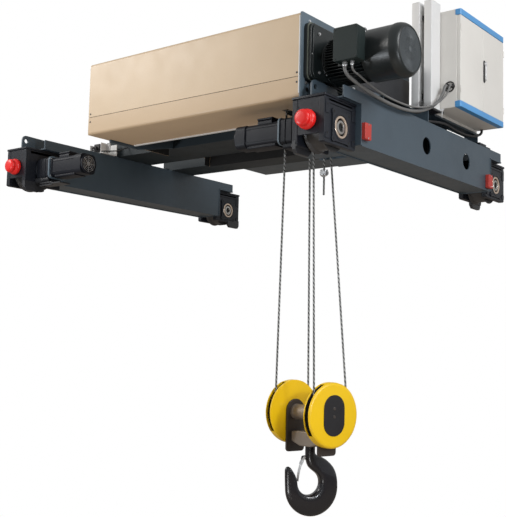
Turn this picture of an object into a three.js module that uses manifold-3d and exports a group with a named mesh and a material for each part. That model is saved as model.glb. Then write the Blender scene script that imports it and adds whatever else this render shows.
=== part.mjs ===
// Electric wire rope hoist on a double-rail trolley, in millimetres, +Z up.
// The origin is midway between the four wheels, at the height of the rail tops.
// +X runs along the rope drum towards the hoist motor, +Y runs along the rails.
import * as THREE from 'three'
import { mergeVertices } from 'three/addons/utils/BufferGeometryUtils.js'
import Module from 'manifold-3d'

const wasm = await Module()
wasm.setup()

// Driving dimensions
const GAP = 0.3
const GAUGE = 2240
const WHEELBASE = 1840
const TREAD_RADIUS = 100
const FLANGE_RADIUS = 114
const AXLE_Z = 100

const BEAM = { width: 198, faceOut: 124, low: 35, high: 305, wall: 8, half: 776, topOut: 940, lugOut: 1010 }
const BLOCK = { width: 188, length: 275, low: 5, high: 243, plate: 12 }
const GIRDER = { front: -310, back: 15, low: 305 + GAP, high: 425, wall: 8, overLeft: 90, overRight: 50 }
const REAR_GIRDER = { front: 235, back: 470, low: 305 + GAP, high: 480, wall: 8 }
const DECK = { left: -508, back: 733, high: 345, wall: 8 }
const SHELF = { left: 840, front: -780, back: -620, low: 35, rib: 62, wall: 8 }
const ANCHOR = { left: 860, front: -575, back: -377, high: 200, wall: 8, socket: 125 }

const COVER = { left: -497, right: 1036, front: -1023, back: 80, low: 256, seam: 361, high: 688, skin: 3, lip: 359 }
const DRUM = { y: -690, z: 460, pitch: 146, left: -455, right: 845, flange: 154 }
const ROPE_RADIUS = 5.5
const RETURN = { x: 897, y: -704, z: 185, pitch: 125, turn: 38.7 }

const MOTOR = { y: -800, z: 467, left: 1110, cowl: 1368, right: 1528, body: 112, cowlRadius: 134 }
const GEARBOX = { left: 1044 + GAP, right: 1092, front: -1000, back: -560, low: 345, high: 640 }
const TERMINAL = { left: 1205, right: 1340, front: -1000, back: -925, low: 405, high: 570 }
const TRAVEL = { y: -920, z: 112, face: 1026, ring: 850, end: 593, radius: 62 }

const CABINET = { left: 1135, right: 1337, face: 1362, front: 100, back: 708, low: 416, high: 990, wall: 4, trim: 35 }
const POST = { front: -15, back: 95, low: 400, high: 1035, wide: 50 }
const POST_LEFTS = [1108, 1186]

const BLOCK_AT = new THREE.Vector3(922, -700, -1298)
const BLOCK_TURN = -14
const SHEAVE = { pitch: 112.5, rim: 122, half: 16.5, spread: 150 }
const SHELL = { radius: 163, inner: 127, outer: 173, skin: 4 }
const SIDE_PLATE = { inner: 115, half: 60, low: -203, corner: 18, thick: 11.7 }
const CROSSHEAD = { drop: 128, half: 104, depth: 40, up: 36, down: 38, taper: 18 }
const AXLE_RADIUS = 28
const SHANK_RADIUS = 22
const HOOK_TURN = -18
const HOOK = { throatX: -9, throatDrop: 346.5, throat: 61, outerX: 10.5, outerDrop: 372.5, outer: 142.5, thick: 66 }
const LATCH = { x: -36, drop: 222, ear: 9, pin: 4, tipX: -66, tipDrop: 340 }

const RIGHT_RAIL = GAUGE / 2
const AXLE_Y = WHEELBASE / 2
const leftBeamFace = -RIGHT_RAIL + BEAM.faceOut
const rightBeamFace = RIGHT_RAIL + BEAM.faceOut - BEAM.width

// Materials
function paint(color, roughness = 0.5, metalness = 0.1) {
  return new THREE.MeshStandardMaterial({ color, roughness, metalness })
}
const bluegrey = () => paint(0x3b464e, 0.5)
const castGrey = () => paint(0x333a41, 0.6)
const champagne = () => paint(0xd6c9b0, 0.45)
const motorGreen = () => paint(0x23292b, 0.5)
const lightGrey = () => paint(0xdcd8d0, 0.45)
const whitePaint = () => paint(0xe6e6e2, 0.5)
const redRubber = () => paint(0xd8231f, 0.55, 0)
const yellowPaint = () => paint(0xf2c413, 0.4)
const blackSteel = () => paint(0x1d2126, 0.35, 0.5)
const steel = () => paint(0x9a9a96, 0.35, 0.9)
const ropeSteel = () => paint(0x6f6f6c, 0.5, 0.7)
const cableGrey = () => paint(0x5b5b5a, 0.6, 0)
const cableBlack = () => paint(0x1a1a1a, 0.6, 0)

// Shape helpers
function outward(geometry) {
  const merged = geometry.index ? geometry.toNonIndexed() : geometry
  const p = merged.attributes.position
  const [a, b, c] = [new THREE.Vector3(), new THREE.Vector3(), new THREE.Vector3()]
  let volume = 0
  for (let i = 0; i < p.count; i += 3) {
    a.fromBufferAttribute(p, i)
    b.fromBufferAttribute(p, i + 1)
    c.fromBufferAttribute(p, i + 2)
    volume += a.dot(b.cross(c))
  }
  if (volume > 0) return merged
  for (let i = 0; i < p.count; i += 3) {
    a.fromBufferAttribute(p, i)
    c.fromBufferAttribute(p, i + 2)
    p.setXYZ(i, c.x, c.y, c.z)
    p.setXYZ(i + 2, a.x, a.y, a.z)
  }
  return merged
}

function solid(geometry) {
  const g = outward(geometry.clone())
  g.deleteAttribute('normal')
  g.deleteAttribute('uv')
  const merged = mergeVertices(g, 1e-3)
  return new wasm.Manifold(new wasm.Mesh({
    numProp: 3,
    vertProperties: new Float32Array(merged.attributes.position.array),
    triVerts: new Uint32Array(merged.index.array),
  }))
}

function geometryOf(manifold) {
  const m = manifold.getMesh()
  const g = new THREE.BufferGeometry()
  g.setAttribute('position', new THREE.BufferAttribute(new Float32Array(m.vertProperties), 3))
  g.setIndex(new THREE.BufferAttribute(new Uint32Array(m.triVerts), 1))
  g.computeVertexNormals()
  return g
}

function join(...pieces) {
  return geometryOf(pieces.map(solid).reduce((sum, next) => sum.add(next)))
}

function cut(base, ...tools) {
  return geometryOf(tools.map(solid).reduce((left, tool) => left.subtract(tool), solid(base)))
}

function box(x0, x1, y0, y1, z0, z1) {
  const g = new THREE.BoxGeometry(x1 - x0, y1 - y0, z1 - z0)
  return g.translate((x0 + x1) / 2, (y0 + y1) / 2, (z0 + z1) / 2)
}

function alongX(geometry) {
  return geometry.rotateZ(-Math.PI / 2)
}

// A round bar along X, from x0 to x1
function barX(radius, x0, x1, y, z, sides = 20) {
  const g = alongX(new THREE.CylinderGeometry(radius, radius, x1 - x0, sides))
  return g.translate((x0 + x1) / 2, y, z)
}

function barY(radius, y0, y1, x, z, sides = 20) {
  const g = new THREE.CylinderGeometry(radius, radius, y1 - y0, sides)
  return g.translate(x, (y0 + y1) / 2, z)
}

function barZ(radius, z0, z1, x, y, sides = 20) {
  const g = new THREE.CylinderGeometry(radius, radius, z1 - z0, sides).rotateX(Math.PI / 2)
  return g.translate(x, y, (z0 + z1) / 2)
}

// A profile of [radius, distance along X] turned about the X axis
function turnedX(profile, sides = 24) {
  const points = profile.map(([radius, along]) => new THREE.Vector2(radius, along))
  return alongX(new THREE.LatheGeometry(points, sides))
}

// An outline in Y and Z pushed along X
function plateX(outline, x0, x1) {
  const g = new THREE.ExtrudeGeometry(outline, { depth: x1 - x0, bevelEnabled: false, curveSegments: 16 })
  g.applyMatrix4(new THREE.Matrix4().makeBasis(
    new THREE.Vector3(0, 1, 0), new THREE.Vector3(0, 0, 1), new THREE.Vector3(1, 0, 0)))
  return g.translate(x0, 0, 0)
}

function polygon(points) {
  return new THREE.Shape(points.map(([a, b]) => new THREE.Vector2(a, b)))
}

function tube(points, radius, steps, sides = 10) {
  const path = new THREE.CatmullRomCurve3(points.map(p => new THREE.Vector3(...p)), false, 'centripetal')
  const section = polygon(Array.from({ length: sides }, (_, i) => {
    const angle = 2 * Math.PI * i / sides
    return [radius * Math.cos(angle), radius * Math.sin(angle)]
  }))
  return new THREE.ExtrudeGeometry(section, { steps, extrudePath: path, bevelEnabled: false })
}

function straight(from, to, radius) {
  const section = polygon(Array.from({ length: 8 }, (_, i) => {
    const angle = Math.PI * i / 4
    return [radius * Math.cos(angle), radius * Math.sin(angle)]
  }))
  const extrudePath = new THREE.LineCurve3(new THREE.Vector3(...from), new THREE.Vector3(...to))
  return new THREE.ExtrudeGeometry(section, { steps: 2, extrudePath, bevelEnabled: false })
}

const hoist = new THREE.Group()
const bottomBlock = new THREE.Group()
bottomBlock.position.copy(BLOCK_AT)
bottomBlock.rotation.z = THREE.MathUtils.degToRad(BLOCK_TURN)
hoist.add(bottomBlock)

function add(name, geometry, material, parent = hoist) {
  const mesh = new THREE.Mesh(outward(geometry), material)
  mesh.name = name
  parent.add(mesh)
  return mesh
}

// End beams: a box section with a lug plate and roof that reach over each wheel block
function endBeam(faceX, eyeFace) {
  const { width, low, high, wall, half, topOut, lugOut } = BEAM
  const back = faceX - width
  const reach = BLOCK.high + GAP
  const pieces = [cut(
    box(back, faceX, -half, half, low, high),
    box(back + wall, faceX - wall, -half - 1, half + 1, low + wall, high - wall))]
  for (const end of [-1, 1]) {
    const [y0, y1] = end < 0 ? [-topOut, -half + 1] : [half - 1, topOut]
    const [l0, l1] = end < 0 ? [-lugOut, -half + 1] : [half - 1, lugOut]
    pieces.push(box(faceX - wall, faceX, y0, y1, reach, high))
    pieces.push(box(back, back + wall, y0, y1, reach, high))
    pieces.push(box(back, faceX, y0, y1, reach, reach + wall))
    pieces.push(cut(
      box(faceX - 150, faceX - 138, l0, l1, reach, high + 35),
      barX(14, faceX - 160, faceX - 130, end * (lugOut - 30), high)))
  }
  const eyes = [-79, 429].map(y => barX(48, eyeFace - wall - 2, eyeFace + wall + 2, y, 166))
  return cut(join(...pieces), ...eyes)
}
add('end_beam_left', endBeam(leftBeamFace, leftBeamFace - BEAM.width), bluegrey())
add('end_beam_right', endBeam(RIGHT_RAIL + BEAM.faceOut, RIGHT_RAIL + BEAM.faceOut), bluegrey())

// Cross girders on top of the end beams, the rear one with a shallow channel welded along its back
function hollowGirder(x0, x1, { front, back, low, high, wall }) {
  return cut(
    box(x0, x1, front, back, low, high),
    box(x0 - 1, x1 + 1, front + wall, back - wall, low + wall, high - wall))
}
const girderLeft = leftBeamFace - GIRDER.overLeft
const girderRight = rightBeamFace + GIRDER.overRight
add('cross_girder_front', hollowGirder(girderLeft, girderRight, GIRDER), bluegrey())
add('cross_girder_rear', join(
  hollowGirder(girderLeft, girderRight, REAR_GIRDER),
  cut(
    box(DECK.left, girderRight, REAR_GIRDER.back - 1, DECK.back, REAR_GIRDER.low, DECK.high),
    box(DECK.left - 1, girderRight + 1, REAR_GIRDER.back, DECK.back - DECK.wall,
      REAR_GIRDER.low + DECK.wall, DECK.high + 1))), bluegrey())

// Bracket on the inner web of the right beam: a ribbed shelf for the return sheave and a channel for the rope anchor
const bracketFace = rightBeamFace - GAP
add('anchor_bracket', join(
  box(bracketFace - SHELF.wall, bracketFace, SHELF.front, ANCHOR.back, SHELF.low, ANCHOR.high),
  box(SHELF.left, bracketFace - 1, SHELF.front, SHELF.back, SHELF.low, SHELF.low + SHELF.wall),
  box(SHELF.left, bracketFace - 1, SHELF.front, SHELF.front + SHELF.wall, SHELF.low + 1, SHELF.rib),
  box(SHELF.left, bracketFace - 1, SHELF.back - SHELF.wall, SHELF.back, SHELF.low + 1, SHELF.rib),
  cut(
    box(ANCHOR.left, bracketFace - 1, ANCHOR.front, ANCHOR.back, SHELF.low, ANCHOR.high),
    box(ANCHOR.left - 1, bracketFace - SHELF.wall, ANCHOR.front + ANCHOR.wall, ANCHOR.back - ANCHOR.wall,
      SHELF.low + ANCHOR.wall, ANCHOR.high + 1))), bluegrey())

// Wheel blocks: a cast housing open below, with the wheel turning inside it
const wheelProfile = [
  [20, -93], [34, -93], [34, -54], [FLANGE_RADIUS, -50], [FLANGE_RADIUS, -38], [TREAD_RADIUS, -34],
  [TREAD_RADIUS, 34], [FLANGE_RADIUS, 38], [FLANGE_RADIUS, 50], [34, 54], [34, 93], [20, 93], [20, -93],
]

function wheelBlock(facing) {
  const { width, length, low, high, plate } = BLOCK
  const body = join(
    box(-width / 2, width / 2, -length / 2, length / 2, low, high),
    box(-width / 2 - 5, width / 2 + 5, -length / 2 - 6, length / 2 + 6, high - plate, high),
    barX(74, width / 2 - 1, width / 2 + 8, 0, AXLE_Z).rotateZ(facing < 0 ? Math.PI : 0))
  return cut(body,
    box(-60, 60, -length / 2 + 15, length / 2 - 15, low - 1, 222),
    barX(36, -width, width, 0, AXLE_Z, 24))
}

for (const [side, sideName] of [[-1, 'left'], [1, 'right']]) {
  for (const [end, endName] of [[-1, 'front'], [1, 'rear']]) {
    const place = new THREE.Group()
    place.position.set(side * RIGHT_RAIL, end * AXLE_Y, 0)
    hoist.add(place)
    const facing = side < 0 && end < 0 ? -1 : 1
    add(`wheel_block_${endName}_${sideName}`, wheelBlock(facing), castGrey(), place)
    const wheel = turnedX(wheelProfile).translate(0, 0, AXLE_Z)
    add(`wheel_${endName}_${sideName}`, wheel, steel(), place)
    const face = BLOCK.length / 2 + GAP
    const buffer = join(
      barY(50, face, face + 32, 0, 122),
      barY(42, face + 31, face + 66, 0, 122))
    if (end < 0) buffer.rotateX(Math.PI).translate(0, 0, 244)
    add(`buffer_${endName}_${sideName}`, buffer, redRubber(), place)
  }
}

// Red rail stops on the outer face of the right beam
for (const [y, z, name] of [[-746, 109, 'front'], [730, 91, 'rear']]) {
  const x = RIGHT_RAIL + BEAM.faceOut + GAP
  add(`stop_block_${name}`, box(x, x + 24, y - 30, y + 30, z - 42, z + 42), redRubber())
}

// Travel gearmotors on the inner faces of the two front wheel blocks
for (const [side, name] of [[-1, 'left'], [1, 'right']]) {
  const mirror = side < 0 ? g => g.scale(-1, 1, 1) : g => g
  const { y, z, face, ring, end, radius } = TRAVEL
  const gear = join(
    barX(68, ring + 10, face - GAP, y, z),
    barX(72, ring, ring + 12, y, z),
    box(ring + 12, face - 20, y - 50, y + 50, z - 92, z - 30))
  add(`travel_gear_${name}`, mirror(gear), castGrey())
  const shell = cut(
    join(barX(radius, end, ring - GAP, y, z), box(ring - 150, ring - 60, y - 40, y + 40, z, z + 88)),
    barX(radius - 4, end - 1, end + 46, y, z))
  add(`travel_motor_${name}`, mirror(shell), castGrey())
  const blades = [0, 60, 120].map(angle => {
    const blade = box(end + 8, end + 30, -48, 48, -3, 3)
    return blade.rotateX(THREE.MathUtils.degToRad(angle)).translate(0, y, z)
  })
  const fan = join(barX(14, end + 6, end + 36, y, z, 16), ...blades)
  add(`travel_fan_${name}`, mirror(fan), cableBlack())
}

// Drum cover: an upper hood and a lower skirt with an inward lip, screwed at a seam
const { left, right, front, back, low, seam, high, skin, lip } = COVER
const girderNotch = box(left - 5, right + 20, GIRDER.front - 8, GIRDER.back + 8, GIRDER.low - 8, GIRDER.high + 8)
add('cover_hood', cut(
  box(left, right, front, back, seam, high),
  box(left + skin, right + 1, front + skin, back - skin, seam - 1, high - skin),
  girderNotch), champagne())
add('cover_skirt', cut(
  box(left, right, front, back, low, seam - GAP),
  box(left + skin, right + 1, front + skin, back - skin, low + skin, seam + 1),
  box(left + skin, right + 1, front + lip, back - skin, low - 1, seam + 1),
  box(770, right + 1, -862, -600, low - 1, low + skin + 1),
  box(left + skin, -465, -866, -600, low - 1, low + skin + 1),
  girderNotch), champagne())

// Plates that carry the drum: one at the gearbox, one with the far bearing spigot
add('drive_end_plate', cut(
  box(right + GAP, GEARBOX.left - GAP, front, back, low, high + 2),
  barX(36, right - 1, GEARBOX.left + 1, DRUM.y, DRUM.z),
  girderNotch), bluegrey())
add('drum_bearing_plate', join(
  box(-488, -474, -860, GIRDER.front - GAP, 240, 620),
  barX(104, -475, -420, DRUM.y, DRUM.z, 24)), bluegrey())

// The drum with the rope that is wound on it
const groove = DRUM.pitch - ROPE_RADIUS - 0.8
add('rope_drum', turnedX([
  [0, 1056], [30, 1056], [30, DRUM.right], [DRUM.flange, DRUM.right], [DRUM.flange, DRUM.right - 6],
  [groove, DRUM.right - 6], [groove, DRUM.left + 10], [DRUM.flange, DRUM.left + 10],
  [DRUM.flange, DRUM.left], [108, DRUM.left], [108, DRUM.right - 30], [0, DRUM.right - 30],
], 32).translate(0, DRUM.y, DRUM.z), steel())
const wound = [groove + GAP, DRUM.pitch + ROPE_RADIUS]
add('rope_coil', turnedX([
  [wound[0], DRUM.left + 60], [wound[1], DRUM.left + 60], [wound[1], 818], [wound[0], 818], [wound[0], DRUM.left + 60],
], 32).translate(0, DRUM.y, DRUM.z), ropeSteel())

add('gearbox_case', cut(
  join(
    box(GEARBOX.left, GEARBOX.right, GEARBOX.front, GEARBOX.back, GEARBOX.low, GEARBOX.high),
    barX(104, GEARBOX.right - 1, MOTOR.left - GAP, MOTOR.y, MOTOR.z)),
  barX(34, GEARBOX.left - 1, GEARBOX.left + 20, DRUM.y, DRUM.z)), motorGreen())

// Hoist motor: finned body, fan cowl and terminal box
const fins = Array.from({ length: 12 }, (_, i) => {
  const fin = box(MOTOR.left + 40, MOTOR.cowl - 14, -MOTOR.body - 12, MOTOR.body + 12, -2.5, 2.5)
  return fin.rotateX(Math.PI * i / 12).translate(0, MOTOR.y, MOTOR.z)
})
add('motor_body', join(
  barX(MOTOR.body, MOTOR.left, MOTOR.cowl - GAP, MOTOR.y, MOTOR.z, 24), ...fins), motorGreen())
add('motor_cowl', turnedX([
  [0, MOTOR.right], [MOTOR.cowlRadius, MOTOR.right], [MOTOR.cowlRadius, MOTOR.cowl],
  [MOTOR.cowlRadius - 4, MOTOR.cowl], [MOTOR.cowlRadius - 4, MOTOR.right - 4], [0, MOTOR.right - 4],
], 32).translate(0, MOTOR.y, MOTOR.z), motorGreen())
add('terminal_box', join(
  box(TERMINAL.left, TERMINAL.right, TERMINAL.front, TERMINAL.back - GAP, TERMINAL.low, TERMINAL.high),
  ...[[1262, 14], [1304, 10]].map(([x, r]) => barZ(r, TERMINAL.low - 22, TERMINAL.low + 1, x, -963))), motorGreen())

// Return sheave above the shelf, on a fork turned to meet ropes two and three
const returnPlace = new THREE.Group()
returnPlace.position.set(RETURN.x, RETURN.y, RETURN.z)
returnPlace.rotation.z = THREE.MathUtils.degToRad(RETURN.turn)
hoist.add(returnPlace)
function sheaveProfile(pitch, rim, bore, half) {
  const root = pitch - ROPE_RADIUS - 1
  return [[bore, -half], [rim, -half], [rim, -half + 4], [root, -5], [root, 5], [rim, half - 4], [rim, half],
    [bore, half], [bore, -half]]
}
add('return_sheave', turnedX(sheaveProfile(RETURN.pitch, RETURN.pitch + 10, 21.5, 16)), steel(), returnPlace)
const forkFoot = SHELF.low + SHELF.wall + GAP - RETURN.z
add('return_sheave_fork', join(
  box(-30, -20, -40, 40, forkFoot, 30),
  box(20, 30, -40, 40, forkFoot, 30),
  box(-30, 30, -40, 40, forkFoot, forkFoot + 4),
  barX(20, -30, 30, 0, 0, 20)), castGrey(), returnPlace)

// Rope anchor beside the channel, and the four rope falls
const anchorY = ANCHOR.front - 15
add('rope_anchor', join(
  box(892, 960, ANCHOR.front - 34, ANCHOR.front - GAP, ANCHOR.socket, ANCHOR.socket + 80),
  barX(9, 886, 966, anchorY, 185, 16),
  barZ(ROPE_RADIUS, -157, ANCHOR.socket + 1, 903, anchorY, 10),
  box(888, 918, anchorY - 14, anchorY + 14, -52, -24)), castGrey())

const turn = THREE.MathUtils.degToRad(BLOCK_TURN)
const hookPlace = new THREE.Group()
hookPlace.rotation.z = THREE.MathUtils.degToRad(HOOK_TURN)
bottomBlock.add(hookPlace)
function atBlock(u, v, w = 0) {
  return [
    BLOCK_AT.x + u * Math.cos(turn) - v * Math.sin(turn),
    BLOCK_AT.y + u * Math.sin(turn) + v * Math.cos(turn),
    BLOCK_AT.z + w,
  ]
}
const returnTurn = THREE.MathUtils.degToRad(RETURN.turn)
function atReturn(reach) {
  return [RETURN.x - reach * Math.sin(returnTurn), RETURN.y + reach * Math.cos(returnTurn), RETURN.z]
}
const falls = [
  [[832, DRUM.y - DRUM.pitch, DRUM.z], atBlock(-SHEAVE.spread, -SHEAVE.pitch)],
  [atReturn(RETURN.pitch), atBlock(-SHEAVE.spread, SHEAVE.pitch)],
  [atReturn(-RETURN.pitch), atBlock(SHEAVE.spread, -SHEAVE.pitch)],
  [[937, anchorY, ANCHOR.socket - 2], atBlock(SHEAVE.spread, SHEAVE.pitch)],
]
falls.forEach(([top, bottom], i) => {
  add(`rope_fall_${i + 1}`, straight(top, bottom, ROPE_RADIUS), ropeSteel())
})

// Hook block: frame with the sheave axle, two sheaves and their covers
function sidePlate(u0, u1) {
  const { half, low, corner } = SIDE_PLATE
  const outline = new THREE.Shape()
  outline.absarc(0, 5, half, 0, Math.PI, false)
  outline.absarc(-half + corner, low + corner, corner, Math.PI, Math.PI * 1.5, false)
  outline.absarc(half - corner, low + corner, corner, Math.PI * 1.5, Math.PI * 2, false)
  return cut(plateX(outline, u0, u1), barX(21, u0 - 1, u1 + 1, 0, -CROSSHEAD.drop))
}
const plateOut = SIDE_PLATE.inner + SIDE_PLATE.thick
add('block_frame', join(
  sidePlate(-plateOut, -SIDE_PLATE.inner),
  sidePlate(SIDE_PLATE.inner, plateOut),
  barX(40, -SIDE_PLATE.inner - 1, SIDE_PLATE.inner + 1, 0, 0, 24),
  barX(AXLE_RADIUS, -SHELL.outer + 8, SHELL.outer - 8, 0, 0)), blackSteel(), bottomBlock)

for (const [side, name] of [[-1, 'left'], [1, 'right']]) {
  const mirror = side < 0 ? g => g.scale(-1, 1, 1) : g => g
  const centre = side * SHEAVE.spread
  const sheave = turnedX(sheaveProfile(SHEAVE.pitch, SHEAVE.rim, AXLE_RADIUS + 1.5, SHEAVE.half))
  add(`block_sheave_${name}`, sheave.translate(centre, 0, 0), castGrey(), bottomBlock)
  const { radius, inner, outer, skin: wall } = SHELL
  const shell = turnedX([
    [0, outer], [radius - 8, outer], [radius, outer - 8], [radius, inner], [56, inner], [56, inner + wall],
    [radius - wall, inner + wall], [radius - wall, outer - wall], [0, outer - wall],
  ], 32)
  const slots = [-1, 1].map(v => {
    const [v0, v1] = v < 0 ? [-170, -55] : [55, 170]
    return box(inner + 2.5, outer - 7, v0, v1, -100, 170)
  })
  add(`block_cover_${name}`, mirror(cut(shell, ...slots)), yellowPaint(), bottomBlock)
}

// Crosshead: a forging that is deepest at its middle, on two trunnions
const { drop, half: headHalf, depth, up, down, taper } = CROSSHEAD
const headOutline = polygon([
  [-headHalf, up - 5 - drop], [-headHalf, taper - down - drop], [-40, -down - drop],
  [40, -down - drop], [headHalf, taper - down - drop], [headHalf, up - 5 - drop], [60, up - drop], [-60, up - drop],
])
add('hook_crosshead', cut(
  join(
    plateX(headOutline, -depth, depth).rotateZ(Math.PI / 2),
    barX(20, -plateOut + 1, plateOut - 1, 0, -drop)),
  barZ(SHANK_RADIUS + 2, -drop - down - 5, -drop + up + 5, 0, 0)), castGrey(), bottomBlock)

// Forged hook with its nut, opening towards -V, and the sprung latch
function hookOutline() {
  const { throatX, throatDrop, throat, outerX, outerDrop, outer } = HOOK
  const degrees = THREE.MathUtils.degToRad
  const shape = new THREE.Shape()
  shape.moveTo(-25, -198)
  shape.bezierCurveTo(-25, -235, -8, -262, throatX + 24, -throatDrop + 56)
  shape.absarc(throatX, -throatDrop, throat, degrees(66), degrees(-180), true)
  shape.lineTo(-88, -299)
  shape.quadraticCurveTo(-104, -264, -118, -264)
  shape.quadraticCurveTo(-134, -266, -134, -286)
  shape.absarc(outerX, -outerDrop, outer, degrees(180), degrees(360), false)
  shape.bezierCurveTo(outerX + outer, -322, 138, -274, 96, -240)
  shape.bezierCurveTo(66, -218, 30, -212, 25, -198)
  return shape
}
const nutFoot = -drop + up + GAP
const neckTop = -drop - down - GAP
const hookBody = join(
  plateX(hookOutline(), -HOOK.thick / 2, HOOK.thick / 2),
  barZ(25, -212, neckTop, 0, 0),
  barZ(SHANK_RADIUS, neckTop - 1, nutFoot + 34, 0, 0),
  barZ(34, nutFoot, nutFoot + 30, 0, 0, 6),
  box(-10, 10, LATCH.x, -20, -LATCH.drop - 7, -LATCH.drop + 7),
  barX(LATCH.ear, -10, 10, LATCH.x, -LATCH.drop, 16))
add('hook', cut(hookBody, barX(LATCH.pin + 0.4, -11, 11, LATCH.x, -LATCH.drop, 16)), blackSteel(), hookPlace)

// The latch: a strip between two cheeks that turn on a pin through the hook's ear
function latchBar(u0, u1, near, far, halfThick) {
  const reach = new THREE.Vector2(LATCH.tipX - LATCH.x, LATCH.drop - LATCH.tipDrop)
  const strip = box(u0, u1, -halfThick, halfThick, -far * reach.length(), -near)
  return strip.rotateX(Math.atan2(reach.x, -reach.y)).translate(0, LATCH.x, -LATCH.drop)
}
add('hook_latch', join(
  latchBar(-15, 15, LATCH.ear + 3, 1, 2.5),
  latchBar(-15, -10.5, 0, 0.2, 6),
  latchBar(10.5, 15, 0, 0.2, 6),
  barX(7.5, -15, -10.5, LATCH.x, -LATCH.drop, 16),
  barX(7.5, 10.5, 15, LATCH.x, -LATCH.drop, 16),
  barX(LATCH.pin, -15, 15, LATCH.x, -LATCH.drop, 16)), steel(), hookPlace)

// Posts, tray, cabinet with two doors and a swing handle
for (const [i, x] of POST_LEFTS.entries()) {
  add(`post_${i + 1}`, cut(
    box(x, x + POST.wide, POST.front, POST.back, POST.low, POST.high),
    box(x + 4, x + POST.wide - 4, POST.front + 4, POST.back - 4, POST.low - 1, POST.high + 1)), whitePaint())
}
add('equipment_tray', join(
  box(1100, 1245, -60, 120, POST.low - 12, POST.low - GAP),
  box(1100, 1190, 119, 720, POST.low - 12, POST.low - GAP),
  box(1100, 1240, -60, -50, BEAM.high + GAP, POST.low - 11),
  box(1100, 1190, 700, 712, BEAM.high + GAP, POST.low - 11)), bluegrey())

const doorBack = CABINET.right + GAP
const doorFace = CABINET.face - 3
const middle = (CABINET.front + CABINET.back) / 2
add('cabinet_body', join(
  cut(
    box(CABINET.left, CABINET.right, CABINET.front, CABINET.back, CABINET.low, CABINET.high),
    box(CABINET.left + CABINET.wall, CABINET.right + 1, CABINET.front + CABINET.wall,
      CABINET.back - CABINET.wall, CABINET.low + CABINET.wall, CABINET.high - CABINET.wall)),
  box(CABINET.right - 1, CABINET.face, CABINET.front, CABINET.back, CABINET.low, CABINET.low + CABINET.trim),
  box(CABINET.right - 1, CABINET.face, CABINET.front, CABINET.back, CABINET.high - CABINET.trim, CABINET.high),
  box(1140, 1188, 125, 700, POST.low, CABINET.low + 1),
  ...[1284, 1314].map(x => barY(13, CABINET.front - 18, CABINET.front + 1, x, 538, 16))), lightGrey())

const doors = [
  ['left', CABINET.front + 1, middle - 1],
  ['right', middle + 1, CABINET.back - 1],
]
for (const [name, y0, y1] of doors) {
  add(`cabinet_door_${name}`, box(doorBack, doorFace, y0, y1,
    CABINET.low + CABINET.trim + 1, CABINET.high - CABINET.trim - 1), lightGrey())
}
add('door_handle', join(
  barX(9, doorFace + GAP, doorFace + 14, middle + 18, 745, 16),
  box(doorFace + 8, doorFace + 16, middle + 10, middle + 26, 640, 756)), blackSteel())

// Leads held along their whole route
add('power_lead', tube([
  [1262, -963, 382], [1262, -963, 372], [1264, -944, 350], [1268, -892, 332], [1270, -740, 308], [1270, -540, 296], [1270, -326, 308],
  [1270, -156, 350], [1274, -30, 415], [1280, 40, 485], [1284, 62, 534], [1284, 72, 538], [1284, 81, 538],
], 9, 32, 8), cableGrey())
add('brake_lead', tube([
  [1304, -963, 382], [1304, -963, 372], [1302, -944, 360], [1300, -892, 352], [1294, -740, 326], [1290, -540, 314], [1290, -326, 326],
  [1292, -156, 366], [1300, -30, 424], [1310, 40, 490], [1314, 62, 534], [1314, 72, 538], [1314, 81, 538],
], 5, 32, 8), cableGrey())
add('control_lead', tube([
  [1222, -42, 316], [1220, 20, 328], [1220, 190, 348], [1220, 389, 338], [1222, 558, 350], [1226, 640, 372],
  [1228, 676, 392], [1228, 682, 406], [1228, 682, CABINET.low - GAP],
], 8, 26, 8), cableBlack())

export default hoist
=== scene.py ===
import math

import bmesh
import bpy
from mathutils import Matrix, Vector


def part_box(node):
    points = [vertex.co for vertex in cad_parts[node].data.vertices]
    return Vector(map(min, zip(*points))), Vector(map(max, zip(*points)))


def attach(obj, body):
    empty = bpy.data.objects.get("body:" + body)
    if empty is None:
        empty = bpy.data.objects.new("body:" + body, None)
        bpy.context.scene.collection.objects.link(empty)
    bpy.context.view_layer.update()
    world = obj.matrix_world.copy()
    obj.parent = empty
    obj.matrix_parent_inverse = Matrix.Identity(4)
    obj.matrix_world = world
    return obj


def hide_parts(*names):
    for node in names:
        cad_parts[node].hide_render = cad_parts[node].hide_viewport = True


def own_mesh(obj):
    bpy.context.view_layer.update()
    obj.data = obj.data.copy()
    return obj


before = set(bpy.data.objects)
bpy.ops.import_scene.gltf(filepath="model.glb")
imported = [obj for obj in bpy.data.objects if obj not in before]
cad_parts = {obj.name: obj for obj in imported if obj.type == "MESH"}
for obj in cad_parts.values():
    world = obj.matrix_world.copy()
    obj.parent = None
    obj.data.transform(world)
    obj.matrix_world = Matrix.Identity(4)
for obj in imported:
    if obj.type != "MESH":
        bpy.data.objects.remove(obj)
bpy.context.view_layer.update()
PI = math.pi
MM = 0.001
X, Y, Z = Vector((1, 0, 0)), Vector((0, 1, 0)), Vector((0, 0, 1))
SIDES = {"left": -1, "right": 1}
ENDS = {"front": -1, "rear": 1}


# ---------------------------------------------------------------- materials

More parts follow.
